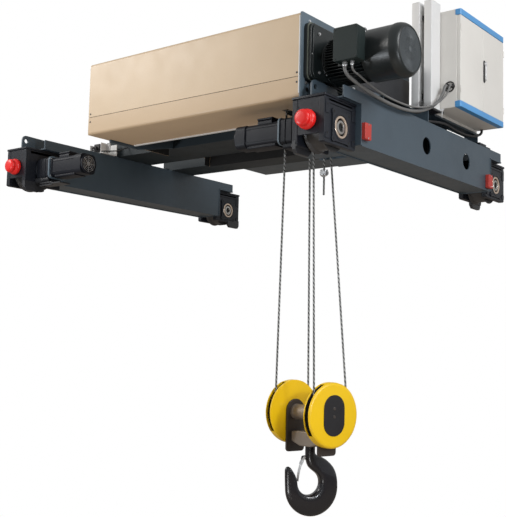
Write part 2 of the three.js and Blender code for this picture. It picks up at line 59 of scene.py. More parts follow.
def material(name, color, rough=0.45, metal=0.0, vary=0.08, grain=60.0, bump=0.02, spread=0.08, coat=0.0,
             shine=0.5):
    """A finish whose colour, gloss and fine relief all drift with noise."""
    m = bpy.data.materials.new(name)
    m.use_nodes = True
    nodes, links = m.node_tree.nodes, m.node_tree.links
    shader = nodes["Principled BSDF"]
    shader.inputs["Metallic"].default_value = metal
    shader.inputs["Specular IOR Level"].default_value = shine
    shader.inputs["Coat Weight"].default_value = coat
    shader.inputs["Coat Roughness"].default_value = 0.12
    place = nodes.new("ShaderNodeTexCoord")

    def noise(scale, detail):
        """Noise over the piece's own coordinates."""
        n = nodes.new("ShaderNodeTexNoise")
        n.inputs["Scale"].default_value = scale
        n.inputs["Detail"].default_value = detail
        links.new(place.outputs["Object"], n.inputs["Vector"])
        return n.outputs["Fac"]

    ramp = nodes.new("ShaderNodeValToRGB")
    ramp.color_ramp.elements[0].position = 0.3
    ramp.color_ramp.elements[1].position = 0.7
    ramp.color_ramp.elements[0].color = [c * (1 - vary) for c in color] + [1]
    ramp.color_ramp.elements[1].color = [min(1, c * (1 + vary)) for c in color] + [1]
    links.new(noise(3.5, 5), ramp.inputs["Fac"])
    links.new(ramp.outputs["Color"], shader.inputs["Base Color"])
    gloss = nodes.new("ShaderNodeMapRange")
    gloss.inputs["To Min"].default_value = max(0.05, rough - spread)
    gloss.inputs["To Max"].default_value = min(1, rough + spread)
    links.new(noise(11, 4), gloss.inputs["Value"])
    links.new(gloss.outputs["Result"], shader.inputs["Roughness"])
    relief = nodes.new("ShaderNodeBump")
    relief.inputs["Strength"].default_value = 1.0
    relief.inputs["Distance"].default_value = bump * MM * 10
    links.new(noise(grain * 10, 3), relief.inputs["Height"])
    links.new(relief.outputs["Normal"], shader.inputs["Normal"])
    return m


BEAM_PAINT = material("beam_paint", (0.05, 0.073, 0.094), 0.42, grain=70, bump=0.016)
CAST_PAINT = material("cast_paint", (0.0105, 0.0125, 0.018), 0.4, vary=0.14, grain=40, bump=0.05, shine=0.3)
HOOD_PAINT = material("hood_paint", (0.54, 0.405, 0.262), 0.44, vary=0.03, grain=110, bump=0.008)
MOTOR_PAINT = material("motor_paint", (0.01, 0.014, 0.0145), 0.36, vary=0.15, grain=50, bump=0.03)
# Painted shade: the beam blue darkened for the cross girders, which lie in the cover's shadow
GIRDER_SHADE_PAINT = material("girder_paint_shaded", (0.019, 0.0275, 0.0335), 0.55, grain=70, bump=0.016, shine=0.3)
STOP_RED = material("stop_red", (0.46, 0.04, 0.03), 0.5, vary=0.12)
CABINET_PAINT = material("cabinet_paint", (0.7, 0.68, 0.64), 0.42, vary=0.03, grain=110, bump=0.014)
BLUE_PAINT = material("blue_paint", (0.08, 0.3, 0.62), 0.38, vary=0.05, grain=110, bump=0.01)
WHITE_PAINT = material("white_paint", (0.69, 0.69, 0.685), 0.4, vary=0.03, grain=90, bump=0.012)
RED_RUBBER = material("red_rubber", (0.74, 0.012, 0.01), 0.34, vary=0.1)
YELLOW_PAINT = material("yellow_paint", (0.8, 0.5, 0.001), 0.38, vary=0.04, grain=80, bump=0.012, coat=0.12)
FORGED = material("forged_black", (0.005, 0.005, 0.0075), 0.2, vary=0.3, grain=18, bump=0.1, coat=0.6,
                  shine=0.3)
PLATE_BLACK = material("plate_black", (0.02, 0.021, 0.024), 0.4, vary=0.15)
BARE_STEEL = material("bare_steel", (0.48, 0.47, 0.45), 0.3, metal=1.0, vary=0.12, grain=30)
WORN_STEEL = material("worn_steel", (0.07, 0.07, 0.072), 0.42, metal=0.6, vary=0.25, grain=30, bump=0.03)
BEARING = material("bearing_ring", (0.62, 0.5, 0.4), 0.34, metal=0.7, vary=0.1, grain=30)
ZINC = material("zinc_plate", (0.66, 0.67, 0.68), 0.34, metal=0.85, vary=0.1, grain=40)
ROPE = material("rope_wire", (0.33, 0.33, 0.32), 0.42, metal=0.35, vary=0.2, bump=0.05)
GREY_SHEATH = material("grey_sheath", (0.15, 0.15, 0.147), 0.42, vary=0.08, grain=80)
BLACK_SHEATH = material("black_sheath", (0.016, 0.016, 0.017), 0.48, vary=0.15, grain=80)
PLATE_BROWN = material("side_plate_paint", (0.034, 0.026, 0.022), 0.42, vary=0.12)
AXLE_STEEL = material("axle_steel", (0.215, 0.18, 0.15), 0.4, metal=0.35, vary=0.1, grain=40, bump=0.03)
# Painted shade: a near-black finish for holes, bores and hollows, standing for the shade inside them
SHADE_BLACK = material("painted_shade_black", (0.006, 0.006, 0.006), 0.8, vary=0.2, grain=40)
LABEL = material("label_plate", (0.018, 0.018, 0.02), 0.22, vary=0.2, grain=40, bump=0.006)
TRAVEL_PAINT = material("travel_paint", (0.0062, 0.0076, 0.0118), 0.5, vary=0.14, grain=40, bump=0.04,
                        shine=0.22)
# Painted shade: a darker, browner copy of the hood paint for the skirt and its underside, which lie in shade
SKIRT_SHADE_PAINT = material("skirt_paint_shaded", (0.5, 0.362, 0.226), 0.44, vary=0.03, grain=110, bump=0.008)
# Painted highlight: a light green-grey for the line of light along the gearbox case's joint
JOINT_HIGHLIGHT = material("case_joint_highlight", (0.1, 0.11, 0.09), 0.4)
GRILLE_WIRE = material("grille_wire", (0.085, 0.097, 0.104), 0.46, metal=0.2)
JUNCTION_PAINT = material("junction_paint", (0.01, 0.017, 0.0165), 0.55, shine=0.25)
# Painted light: a lighter copy of the beam blue, standing for the light on the end plate and the travel
# collars
LIT_PLATE_PAINT = material("end_plate_paint_lit", (0.095, 0.13, 0.16), 0.45, grain=70, bump=0.016)


def strand_shade_bands(finish, pitch, dark):
    """Painted shade: dark slanting bands standing for the shade between the strands of a laid rope."""
    nodes, links = finish.node_tree.nodes, finish.node_tree.links
    shader = nodes["Principled BSDF"]
    colour = shader.inputs["Base Color"].links[0].from_socket
    place = nodes.new("ShaderNodeTexCoord")
    wave = nodes.new("ShaderNodeTexWave")
    wave.bands_direction = "DIAGONAL"
    wave.inputs["Scale"].default_value = PI / (5 * pitch)
    wave.inputs["Distortion"].default_value = 0.4
    links.new(place.outputs["Object"], wave.inputs["Vector"])
    mix = nodes.new("ShaderNodeMix")
    mix.data_type = "RGBA"
    links.new(wave.outputs["Fac"], mix.inputs[0])
    links.new(colour, mix.inputs[7])
    mix.inputs[6].default_value = (*dark, 1)
    links.new(mix.outputs[2], shader.inputs["Base Color"])


# The rope finish gets painted shade between its strands
strand_shade_bands(ROPE, 22 * MM, (0.018, 0.018, 0.018))


# ---------------------------------------------------------------- mesh tools

class Shape:
    """Collects solids in one mesh, in row-frame metres."""

    def __init__(self, place=Matrix.Identity(4)):
        self.bm = bmesh.new()
        self.place = place

    def add(self, verts, faces):
        """Adds points and the faces between them."""
        made = [self.bm.verts.new(self.place @ Vector(v)) for v in verts]
        for face in faces:
            self.bm.faces.new([made[i] for i in face])
        return self

    def box(self, corner_a, corner_b):
        """A box between two opposite corners."""
        (x0, x1), (y0, y1), (z0, z1) = (sorted(pair) for pair in zip(corner_a, corner_b))
        verts = [(x, y, z) for z in (z0, z1) for x, y in ((x0, y0), (x1, y0), (x1, y1), (x0, y1))]
        return self.add(verts, [(3, 2, 1, 0), (4, 5, 6, 7), (0, 1, 5, 4), (1, 2, 6, 5), (2, 3, 7, 6),
            (3, 0, 4, 7)])

    def lathe(self, axis, centre, profile, sides=48):
        """profile: (radius, distance along axis) pairs, ends at radius 0 are closed to a point."""
        a, b = across(axis)
        rings, verts = [], []
        for radius, along in profile:
            base = Vector(centre) + axis * along
            if radius < 1e-9:
                rings.append([len(verts)])
                verts.append(base)
                continue
            rings.append(list(range(len(verts), len(verts) + sides)))
            for i in range(sides):
                t = 2 * PI * i / sides
                verts.append(base + (a * math.cos(t) + b * math.sin(t)) * radius)
        faces = []
        for low, high in zip(rings, rings[1:]):
            for i in range(sides):
                j = (i + 1) % sides
                if len(low) == 1:
                    faces.append((low[0], high[j], high[i]))
                elif len(high) == 1:
                    faces.append((low[i], low[j], high[0]))
                else:
                    faces.append((low[i], low[j], high[j], high[i]))
        return self.add(verts, faces)

    def ring(self, axis, centre, profile, sides=48):
        """A closed profile, turned into a ring with a bore."""
        return self.lathe(axis, centre, list(profile) + [profile[0]], sides)

    def tube(self, axis, centre, inner, outer, start, end, sides):
        """A plain ring with square edges."""
        return self.ring(axis, centre, [(inner, start), (outer, start), (outer, end), (inner, end)], sides)

    def disc(self, axis, at, radius, height, rim, sides):
        """A flat round head sunk 1 mm into the face it stands on; rim is its radius at the top."""
        return self.lathe(axis, at, [(0, -MM), (radius, -MM), (rim, height), (0, height)], sides)

    def bar(self, axis, centre, radius, start, end, sides=48):
        """A solid round bar."""
        return self.lathe(axis, centre, [(0, start), (radius, start), (radius, end), (0, end)], sides)

    def plate(self, axis, outline, start, end, holes=(), centre=(0, 0, 0)):
        """An outline with round holes (u, v, radius), pushed along an axis."""
        a, b = across(axis)
        start, end = start, end
        sheet = bmesh.new()
        loops = [outline] + [circle(u, v, r, 28) for u, v, r in holes]
        edges = []
        for loop in loops:
            made = [sheet.verts.new((u, v, 0)) for u, v in loop]
            edges += [sheet.edges.new((made[i - 1], made[i])) for i in range(len(made))]
        if holes:
            bmesh.ops.triangle_fill(sheet, use_beauty=True, use_dissolve=True, edges=edges)
        else:
            sheet.faces.new(sheet.verts)
        body = bmesh.ops.extrude_face_region(sheet, geom=sheet.faces[:])
        for v in body["geom"]:
            if isinstance(v, bmesh.types.BMVert):
                v.co.z = 1
        origin = Vector(centre)
        for v in sheet.verts:
            along = start if v.co.z < 0.5 else end
            v.co = self.place @ (origin + a * v.co.x + b * v.co.y + axis * along)
        part = bpy.data.meshes.new("part")
        sheet.to_mesh(part)
        sheet.free()
        self.bm.from_mesh(part)
        bpy.data.meshes.remove(part)
        return self

    def slab(self, axis, u0, u1, v0, v1, radius, sides, start, end):
        """A plate with round corners."""
        return self.plate(axis, rounded(u0, u1, v0, v1, radius, sides), start, end)

    def loft(self, sections, caps=True):
        """A skin over outlines that all have the same number of points."""
        n = len(sections[0])
        faces = []
        for low in range(0, (len(sections) - 1) * n, n):
            faces += [(low + k, low + (k + 1) % n, low + n + (k + 1) % n, low + n + k) for k in range(n)]
        if caps:
            last = (len(sections) - 1) * n
            faces += [tuple(range(n))[::-1], tuple(range(last, last + n))]
        return self.add([point for section in sections for point in section], faces)

    def sweep(self, points, section, twist=0.0, caps=True):
        """section(i) gives the outline's (u, v) pairs at point i; twist is radians for each metre."""
        sections, travelled = [], 0.0
        side = None
        for i, p in enumerate(points):
            before, after = points[max(i - 1, 0)], points[min(i + 1, len(points) - 1)]
            forward = (Vector(after) - Vector(before)).normalized()
            if side is None:
                side = X if abs(forward.x) < 0.9 else Y
            side = (side - forward * side.dot(forward)).normalized()
            up = forward.cross(side)
            if i:
                travelled += (Vector(p) - Vector(points[i - 1])).length
            c, s = math.cos(twist * travelled), math.sin(twist * travelled)
            sections.append([Vector(p) + side * (u * c - v * s) + up * (u * s + v * c) for u,
                             v in section(i)])
        return self.loft(sections, caps)

    def wire(self, points, radius, sides=8, caps=True):
        """A round wire, pipe or weld bead along a path."""
        outline = circle(0, 0, radius, sides)
        return self.sweep(points, lambda i: outline, caps=caps)

    def bolt(self, axis, at, size):
        """A hexagon head standing on a face at a point, with its washer."""
        head = size * 0.65
        self.bar(axis, at, size * 1.15, -0.0005, 0.0016, 20)
        return self.bar(axis, at, size * 0.9, 0.001, 0.0016 + head, 6)

    def screw(self, axis, at, radius):
        """A cap screw with its socket."""
        r = radius
        return self.lathe(axis, at, [(0, -0.001), (r, -0.001), (r, r * 0.8), (r * 0.85, r), (r * 0.5, r),
                                     (r * 0.45, r * 0.3), (0, r * 0.3)], 16)

    def done(self, name, finish, body="trolley", hides=(), bevel=0.0, segments=2, angle=32, slot=None):
        """Turns the solids into one visible piece that rides on a body and stands for CAD nodes."""
        bmesh.ops.remove_doubles(self.bm, verts=self.bm.verts, dist=1e-6)
        bmesh.ops.recalc_face_normals(self.bm, faces=self.bm.faces)
        mesh = bpy.data.meshes.new(name)
        self.bm.to_mesh(mesh)
        self.bm.free()
        mesh.materials.append(finish)
        mesh.polygons.foreach_set("use_smooth", [True] * len(mesh.polygons))
        mesh.set_sharp_from_angle(angle=math.radians(angle))
        piece = bpy.data.objects.new(name, mesh)
        bpy.context.scene.collection.objects.link(piece)
        if bevel:
            round_edges = piece.modifiers.new("edges", "BEVEL")
            round_edges.width = bevel
            round_edges.segments = segments
            round_edges.limit_method = "ANGLE"
            round_edges.angle_limit = math.radians(40)
            round_edges.harden_normals = True
        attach(piece, body)
        if hides:
            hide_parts(*hides)
        return piece


def across(axis):
    """Two directions across an axis, right-handed with it: for X they are Y and Z, for Y they are Z and X."""
    if abs(axis.x) > 0.9:
        return (Y, Z) if axis.x > 0 else (-Y, Z)
    if abs(axis.y) > 0.9:
        return (Z, X) if axis.y > 0 else (Z, -X)
    return (X, Y) if axis.z > 0 else (Y, X)


def mirrored(profile):
    """Completes a turned profile whose two halves are alike about distance 0."""
    return profile + [(radius, -along) for radius, along in reversed(profile) if along]


def circle(u, v, radius, sides=24, start=0.0, turn=2 * PI):
    """Points of a circle, or of an arc when turn is less than a full turn."""
    full = abs(turn) > 2 * PI - 1e-6
    steps = sides if full else sides + 1
    angles = [start + turn * i / sides for i in range(steps)]
    return [(u + radius * math.cos(t), v + radius * math.sin(t)) for t in angles]


def rounded(u0, u1, v0, v1, radius, sides=6):
    """A rectangle with round corners."""
    corners = [(u1 - radius, v0 + radius, -PI / 2), (u1 - radius, v1 - radius, 0),
               (u0 + radius, v1 - radius, PI / 2), (u0 + radius, v0 + radius, PI)]
    return [p for u, v, start in corners for p in circle(u, v, radius, sides, start, PI / 2)]


def smooth_path(points, steps):
    """A centripetal Catmull-Rom curve through the points, sampled evenly by length."""
    p = [Vector(q) for q in points]
    p = [p[0] * 2 - p[1]] + p + [p[-1] * 2 - p[-2]]
    dense = []
    for i in range(1, len(p) - 2):
        t = [0.0]
        for a, b in ((p[i - 1], p[i]), (p[i], p[i + 1]), (p[i + 1], p[i + 2])):
            t.append(t[-1] + max((b - a).length, 1e-6) ** 0.5)
        for k in range(24):
            s = t[1] + (t[2] - t[1]) * k / 24
            a1 = p[i - 1].lerp(p[i], (s - t[0]) / (t[1] - t[0]))
            a2 = p[i].lerp(p[i + 1], (s - t[1]) / (t[2] - t[1]))
            a3 = p[i + 1].lerp(p[i + 2], (s - t[2]) / (t[3] - t[2]))
            b1 = a1.lerp(a2, (s - t[0]) / (t[2] - t[0]))
            b2 = a2.lerp(a3, (s - t[1]) / (t[3] - t[1]))
            dense.append(b1.lerp(b2, (s - t[1]) / (t[2] - t[1])))
    dense.append(p[-2])
    lengths = [0.0]
    for a, b in zip(dense, dense[1:]):
        lengths.append(lengths[-1] + (b - a).length)
    even, k = [], 0
    for i in range(steps + 1):
        goal = lengths[-1] * i / steps
        while k < len(dense) - 2 and lengths[k + 1] < goal:
            k += 1
        even.append(dense[k].lerp(dense[k + 1], (goal - lengths[k]) / max(lengths[k + 1] - lengths[k],
            1e-9)))
    return even


def around(sides):
    """Unit vectors across X, evenly spaced, each with the direction it turns towards."""
    for k in range(sides):
        t = 2 * PI * k / sides
        yield Vector((0, math.cos(t), math.sin(t))), Vector((0, -math.sin(t), math.cos(t)))


def corner(node):
    """The two extreme corners of a node's box."""
    low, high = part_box(node)
    return low.copy(), high.copy()


# ---------------------------------------------------------------- ropes and leads

ROPE_R = 5.5 * MM
LAY_LENGTH = 24 * ROPE_R


def strands(radius, steps=4):
    """The outline of a rope laid from six round strands."""
    centre, strand = radius * 0.64, radius * 0.36
    points = []
    for k in range(6):
        for i in range(steps):
            t = (i / steps - 0.5) * PI / 3
            reach = centre * math.cos(t) + math.sqrt(max(0, strand ** 2 - (centre * math.sin(t)) ** 2))
            a = k * PI / 3 + t
            points.append((reach * math.cos(a), reach * math.sin(a)))
    return points


def rope(name, points, body="trolley", hides=()):
    """A laid rope along a path."""
    outline = strands(ROPE_R)
    shape = Shape().sweep(points, lambda i: outline, 2 * PI / LAY_LENGTH)
    return shape.done(name, ROPE, body, hides, angle=70)


def straight_points(a, b):
    """Points 5 mm apart on a straight line, close enough to show the lay of the strands."""
    count = max(2, int((Vector(b) - Vector(a)).length / (5 * MM)))
    return [Vector(a).lerp(Vector(b), i / count) for i in range(count + 1)]


# The hook block hangs plumb under the drum, turned a little about Z; the return sheave has its own turn
BLOCK = Matrix.Translation((0.922, -0.7, -1.298)) @ Matrix.Rotation(math.radians(-14), 4, "Z")
SHEAVE_PITCH, SPREAD = 0.1125, 0.15
RETURN_Z = 0.185
RETURN = Matrix.Translation((0.897, -0.704, RETURN_Z)) @ Matrix.Rotation(math.radians(38.7), 4, "Z")
RETURN_PITCH = 0.125
DRUM_Y, DRUM_Z, DRUM_PITCH = -0.69, 0.46, 0.146

falls = [
    (Vector((0.832, DRUM_Y - DRUM_PITCH, DRUM_Z)), BLOCK @ Vector((-SPREAD, -SHEAVE_PITCH, 0))),
    (RETURN @ Vector((0, RETURN_PITCH, 0)), BLOCK @ Vector((-SPREAD, SHEAVE_PITCH, 0))),
    (RETURN @ Vector((0, -RETURN_PITCH, 0)), BLOCK @ Vector((SPREAD, -SHEAVE_PITCH, 0))),
    (Vector((0.937, -0.59, 0.123)), BLOCK @ Vector((SPREAD, SHEAVE_PITCH, 0))),
]
for number, (top, foot) in enumerate(falls, 1):
    fall = rope(f"fall_{number}", straight_points(top, foot), hides=[f"rope_fall_{number}"])
    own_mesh(fall)

for name, side in SIDES.items():
    under = circle(0, 0, SHEAVE_PITCH, 48, PI, PI)
    rope(f"bend_{name}", [BLOCK @ Vector((side * SPREAD, v, w)) for v, w in under], "hook_block")
over = circle(0, 0, RETURN_PITCH, 48, PI, -PI)
rope("bend_return", [RETURN @ Vector((0, v, w)) for v, w in over])


def lead(name, points, radius, finish, hides, steps):
    """A cable along a smooth route through points in millimetres."""
    section = circle(0, 0, radius, 16)
    shape = Shape().sweep(smooth_path([[c * MM for c in p] for p in points], steps), lambda i: section)
    return shape.done(name, finish, hides=hides, angle=60)


lead("lead_power", [(1262, -963, 382), (1262, -963, 372), (1264, -944, 350), (1268, -892, 332),
                    (1270, -740, 308), (1270, -540, 296), (1270, -326, 308), (1270, -156, 350),
                    (1274, -30, 415), (1280, 40, 485), (1284, 62, 534), (1284, 72, 538), (1284, 81, 538)],
     9 * MM, GREY_SHEATH, ["power_lead"], 120)
lead("lead_brake", [(1304, -963, 382), (1304, -963, 372), (1302, -944, 360), (1300, -892, 352),
                    (1294, -740, 326), (1290, -540, 314), (1290, -326, 326), (1292, -156, 366),
                    (1300, -30, 424), (1310, 40, 490), (1314, 62, 534), (1314, 72, 538), (1314, 81, 538)],
     5 * MM, GREY_SHEATH, ["brake_lead"], 120)
lead("lead_control", [(1222, -42, 316), (1220, 20, 328), (1220, 190, 348), (1220, 389, 338),
                      (1222, 558, 350), (1226, 640, 372), (1228, 676, 392), (1228, 682, 406),
                      (1228, 682, 415.7)], 8 * MM, BLACK_SHEATH, ["control_lead"], 90)


# ---------------------------------------------------------------- hook block

PLATE_IN, PLATE_OUT, HEAD_W = 0.115, 0.1267, -0.128
SHELL_IN, SHELL_OUT, SHELL_R = 0.127, 0.173, 0.163


def cover_profile():
    """One sheave cover in section: (radius, distance outwards from the block's middle)."""
    rim, inner, outer, wall = SHELL_R, SHELL_IN, SHELL_OUT, 0.0035
    return [(0, outer - wall), (rim - 0.016, outer - wall), (rim - wall, outer - 0.014),
            (rim - wall, inner + wall), (0.056, inner + wall), (0.056, inner), (rim - 0.003, inner),
            (rim, inner + 0.002), (rim, outer - 0.013), (rim - 0.002, outer - 0.007),
            (rim - 0.006, outer - 0.0025), (rim - 0.012, outer - 0.0004), (rim - 0.016, outer), (0, outer)]


def carve(piece, shape):
    """Cuts a shape out of a piece at once, ahead of its other modifiers."""
    cutter = shape.done("cutter", SHADE_BLACK)
    cut = piece.modifiers.new("cut", "BOOLEAN")
    cut.operation, cut.solver, cut.object = "DIFFERENCE", "EXACT", cutter
    piece.modifiers.move(len(piece.modifiers) - 1, 0)
    kept = [(m.name, m.show_viewport) for m in piece.modifiers if m != cut]
    for m in piece.modifiers:
        m.show_viewport = m == cut
    view = bpy.context.evaluated_depsgraph_get()
    view.update()
    mesh = bpy.data.meshes.new_from_object(piece.evaluated_get(view))
    old, piece.data = piece.data, mesh
    mesh.name = piece.name
    bpy.data.meshes.remove(old)
    piece.modifiers.remove(piece.modifiers["cut"])
    for name, shown in kept:
        piece.modifiers[name].show_viewport = shown
    mesh.polygons.foreach_set("use_smooth", [True] * len(mesh.polygons))
    mesh.set_sharp_from_angle(angle=math.radians(32))
    bpy.data.objects.remove(cutter)


SLOT_FROM, SLOT_TURN = math.radians(-38), math.radians(108)


def rope_slot(front):
    """The part of the rim that stays open for the rope, seen along the axle."""
    outer = circle(0, 0, SHELL_R + 0.01, 16, SLOT_FROM, SLOT_TURN)
    inner = circle(0, 0, SHELL_R - 0.04, 16, SLOT_FROM + SLOT_TURN, -SLOT_TURN)
    return [(front * v, w) for v, w in outer + inner]


for name, side in SIDES.items():
    out = X * side
    shell = Shape(BLOCK).lathe(out, (0, 0, 0), cover_profile(), 112)
    shell = shell.done(f"sheave_cover_{name}", YELLOW_PAINT, "hook_block", [f"block_cover_{name}"])
    slots = Shape(BLOCK)
    for front in (-1, 1):
        slots.plate(X, rope_slot(front), side * (SHELL_IN + 0.003), side * (SHELL_OUT - 0.0085))
    carve(shell, slots)
    lips = Shape(BLOCK)
    for front in (-1, 1):
        for edge in (SHELL_IN + 0.0032, SHELL_OUT - 0.0088):
            rim = circle(0, 0, SHELL_R - 0.0012, 20, SLOT_FROM, SLOT_TURN)
            lips.wire([Vector((side * edge, front * v, w)) for v, w in rim], 0.0014)
    lips.done(f"slot_lips_{name}", YELLOW_PAINT, "hook_block")
    plate = Shape(BLOCK).slab(out, -0.069, 0.069, -0.101, 0.101, 0.066, 12, SHELL_OUT + 0.0003,
                              SHELL_OUT + 0.003)
    plate.done(f"label_plate_{name}", LABEL, "hook_block", bevel=0.0008)
    fixings = Shape(BLOCK)
    button = [(0, 0), (0.0085, 0), (0.0085, 0.0008), (0.006, 0.0022), (0.0035, 0.0016), (0, 0.001)]
    for w in (0.034, -0.006):
        fixings.lathe(out, out * (SHELL_OUT + 0.0028) + Z * w, button, 24)
    fixings.done(f"label_screws_{name}", PLATE_BROWN, "hook_block")
    # Painted shade: black discs inside each cover stand for the shade seen through the rope slots
    inner_shade = Shape(BLOCK).tube(out, (0, 0, 0), 0.06, 0.156, SHELL_IN + 0.004, SHELL_IN + 0.005, 96)
    inner_shade.bar(out, (0, 0, 0), 0.144, SHELL_OUT - 0.005, SHELL_OUT - 0.004, 96)
    inner_shade.done(f"cover_inner_shade_{name}", SHADE_BLACK, "hook_block", slot="black_forging")
    sheave = Shape(BLOCK)
    groove = [(0.0295, -0.0165), (0.044, -0.0165), (0.046, -0.009), (0.098, -0.009), (0.102, -0.014),
              (0.121, -0.0165), (0.122, -0.014), (0.11, -0.0072), (0.1068, -0.004), (0.1062, 0.0)]
    sheave.ring(out, out * SPREAD, mirrored(groove), 96)
    sheave.done(f"sheave_{name}", WORN_STEEL, f"block_sheave_{name}", [f"block_sheave_{name}"])

# Frame: side plates with round heads, and the axle between them
cheek = circle(0, 0.005, 0.06, 24, 0, PI)
cheek += circle(-0.042, -0.185, 0.018, 6, PI, PI / 2)
cheek += circle(0.042, -0.185, 0.018, 6, PI * 1.5, PI / 2)
for name, side in SIDES.items():
    plates = Shape(BLOCK).plate(X, cheek, side * PLATE_IN, side * PLATE_OUT, [(0, HEAD_W, 0.0212)])
    plates.done(f"side_plate_{name}", PLATE_BROWN, "hook_block",
                ["block_frame"] if side < 0 else [], bevel=0.0022, segments=3)
axle_half = [(0, -0.1645), (0.0265, -0.1645), (0.028, -0.163), (0.028, -0.115), (0.0395, -0.1148),
             (0.04, -0.1135), (0.04, -0.1), (0.0385, -0.0985)]
axle = Shape(BLOCK).lathe(X, (0, 0, 0), mirrored(axle_half), 64)
axle.done("axle_tube", AXLE_STEEL, "hook_block")

# Crosshead: deepest in the middle, with its two trunnions
profile = [(-0.104, -0.097), (-0.104, -0.148), (-0.04, -0.166), (0.04, -0.166), (0.104, -0.148),
           (0.104, -0.097), (0.06, -0.092), (-0.06, -0.092)]
cross = Shape(BLOCK).plate(Y, [(w, u) for u, w in reversed(profile)], -0.04, 0.04)
cross = cross.done("crosshead_block", AXLE_STEEL, "crosshead", ["hook_crosshead"], bevel=0.006, segments=4,
                   slot="cast_grey_paint")
carve(cross, Shape(BLOCK).bar(Z, (0, 0, 0), 0.0235, -0.18, -0.08, 40))
trunnion = [(0, 0.1), (0.028, 0.1), (0.028, 0.1135), (0.0203, 0.1148), (0.0203, 0.1255), (0.0185, 0.1275),
            (0, 0.1275)]
pins = Shape(BLOCK)
for side in (-1, 1):
    pins.lathe(X * side, (0, 0, HEAD_W), trunnion, 48)
pins.done("crosshead_pins", BEARING, "crosshead", slot="cast_grey_paint")

# The forged hook: a section that is wide and round at the throat, swells at the back and tapers to the tip
HOOK = BLOCK @ Matrix.Rotation(math.radians(-18), 4, "Z")
THROAT_V, THROAT_W, THROAT = -0.009, -0.3465, 0.061
OUTER_V, OUTER_W, OUTER = 0.0105, -0.3725, 0.1425
PIN_V, PIN_W = -0.036, -0.222
PIVOT, LATCH_END = Vector((0, PIN_V, PIN_W)), Vector((0, -0.0665, -0.3385))


def hook_edges():
    """Pairs of points (inside, outside) of the hook's flat outline, from the neck round to the tip."""
    pairs = [((-0.025, w), (0.025, w)) for w in (-0.1665, -0.18, -0.192)]
    neck_in = [(-0.025, -0.204), (-0.0245, -0.218), (-0.0225, -0.234), (-0.0175, -0.252), (-0.009, -0.268),
               (0.003, -0.2795)]
    neck_out = [(0.0262, -0.201), (0.033, -0.208), (0.047, -0.2135), (0.066, -0.2215), (0.088, -0.234),
                (0.11, -0.252)]
    pairs += list(zip(neck_in, neck_out))
    back = smooth_pairs([(0.11, -0.252), (0.129, -0.274), (0.143, -0.302), (0.151, -0.336),
                         (0.153, -0.3725)])
    bowl_from = math.radians(-6)
    throat = circle(THROAT_V, THROAT_W, THROAT, len(back) - 1, math.radians(60),
                    bowl_from - math.radians(60))
    pairs += list(zip(throat, back))[1:]
    bowl_in = circle(THROAT_V, THROAT_W, THROAT, 26, bowl_from, math.radians(-166))
    bowl_out = circle(OUTER_V, OUTER_W, OUTER, 26, 0, -PI)
    pairs += list(zip(bowl_in, bowl_out))[1:]
    tip = [((-0.0715, -0.337), (-0.1336, -0.348)), ((-0.076, -0.323), (-0.1345, -0.326)),
           ((-0.0825, -0.308), (-0.135, -0.307)), ((-0.0895, -0.296), (-0.1352, -0.293)),
           ((-0.0975, -0.2845), (-0.135, -0.282)), ((-0.1035, -0.276), (-0.1325, -0.273)),
           ((-0.1095, -0.2695), (-0.127, -0.267)), ((-0.115, -0.266), (-0.12, -0.265))]
    return pairs + tip


def smooth_pairs(points):
    """A smooth flat curve through (u, w) points."""
    return [(q.x, q.y) for q in smooth_path([(u, w, 0) for u, w in points], 10)]


def hook_section(half, inside, outside, square):
    """Half depth along the radius, half widths at the throat and at the back, and how boxy it is."""
    points = []
    for i in range(36):
        t = 2 * PI * i / 36
        c, s = math.cos(t), math.sin(t)
        depth = math.copysign(abs(c) ** square, c)
        share = (depth + 1) / 2
        wide = inside + (outside - inside) * share ** 1.15
        points.append((half * depth, wide * math.copysign(abs(s) ** (square * 0.95), s)))
    return points


pairs = hook_edges()
count = len(pairs)
sections = []
for i, (inside, outside) in enumerate(pairs):
    a, b = Vector((0, *inside)), Vector((0, *outside))
    radial, half, centre = (b - a).normalized(), (b - a).length / 2, (a + b) / 2
    s = i / (count - 1)
    swell = min(1.0, max(0.0, (i - 2) / 9))
    swell = swell * swell * (3 - 2 * swell)
    taper = 1.0 if s < 0.56 else 1 - 0.42 * ((s - 0.56) / 0.44) ** 1.2
    wide_in = (0.025 + 0.011 * swell) * taper
    wide_out = (0.025 - 0.0075 * swell) * (taper if s > 0.56 else 1)
    square = 1.0 - 0.3 * swell
    last_points = max(0.0, (i - (count - 5)) / 4)
    shrink = math.sqrt(max(0.02, 1 - last_points ** 2))
    section = hook_section(half, wide_in * shrink, wide_out * shrink, square)
    sections.append([centre + radial * r + X * u for r, u in section])
hook = Shape(HOOK).loft(sections)
hook.done("forged_hook", FORGED, "hook", ["hook"], angle=50)
ear_outline = circle(PIN_V, PIN_W, 0.0088, 12, PI / 2, PI) + [(-0.018, -0.233), (-0.018, -0.211)]
ear = Shape(HOOK).plate(X, ear_outline, -0.0098, 0.0098, [(PIN_V, PIN_W, 0.0045)])
ear.done("latch_ear", FORGED, "hook", bevel=0.0012)
nut = Shape(HOOK).bar(Z, (0, 0, 0), 0.0218, -0.168, -0.058, 40)
nut.lathe(Z, (0, 0, 0), [(0, -0.0915), (0.03, -0.0915), (0.033, -0.089), (0.033, -0.065), (0.03, -0.062),
                         (0, -0.062)], 8)
nut.done("hook_nut", WORN_STEEL, "hook", bevel=0.001)

# Latch: a pressed strip between two cheeks, on its pin
def latch_points(shares):
    """Points along the latch, which bows out 6.5 mm between its pin and its end."""
    return [PIVOT.lerp(LATCH_END, s) + Vector((0, -0.0065 * math.sin(PI * s), 0)) for s in shares]


def latch_strip(i):
    """The strip's section: it narrows by 5 mm over its length."""
    half = 0.0145 - 0.0025 * i / 12
    return rounded(-half, half, -0.0014, 0.0014, 0.0012, 3)


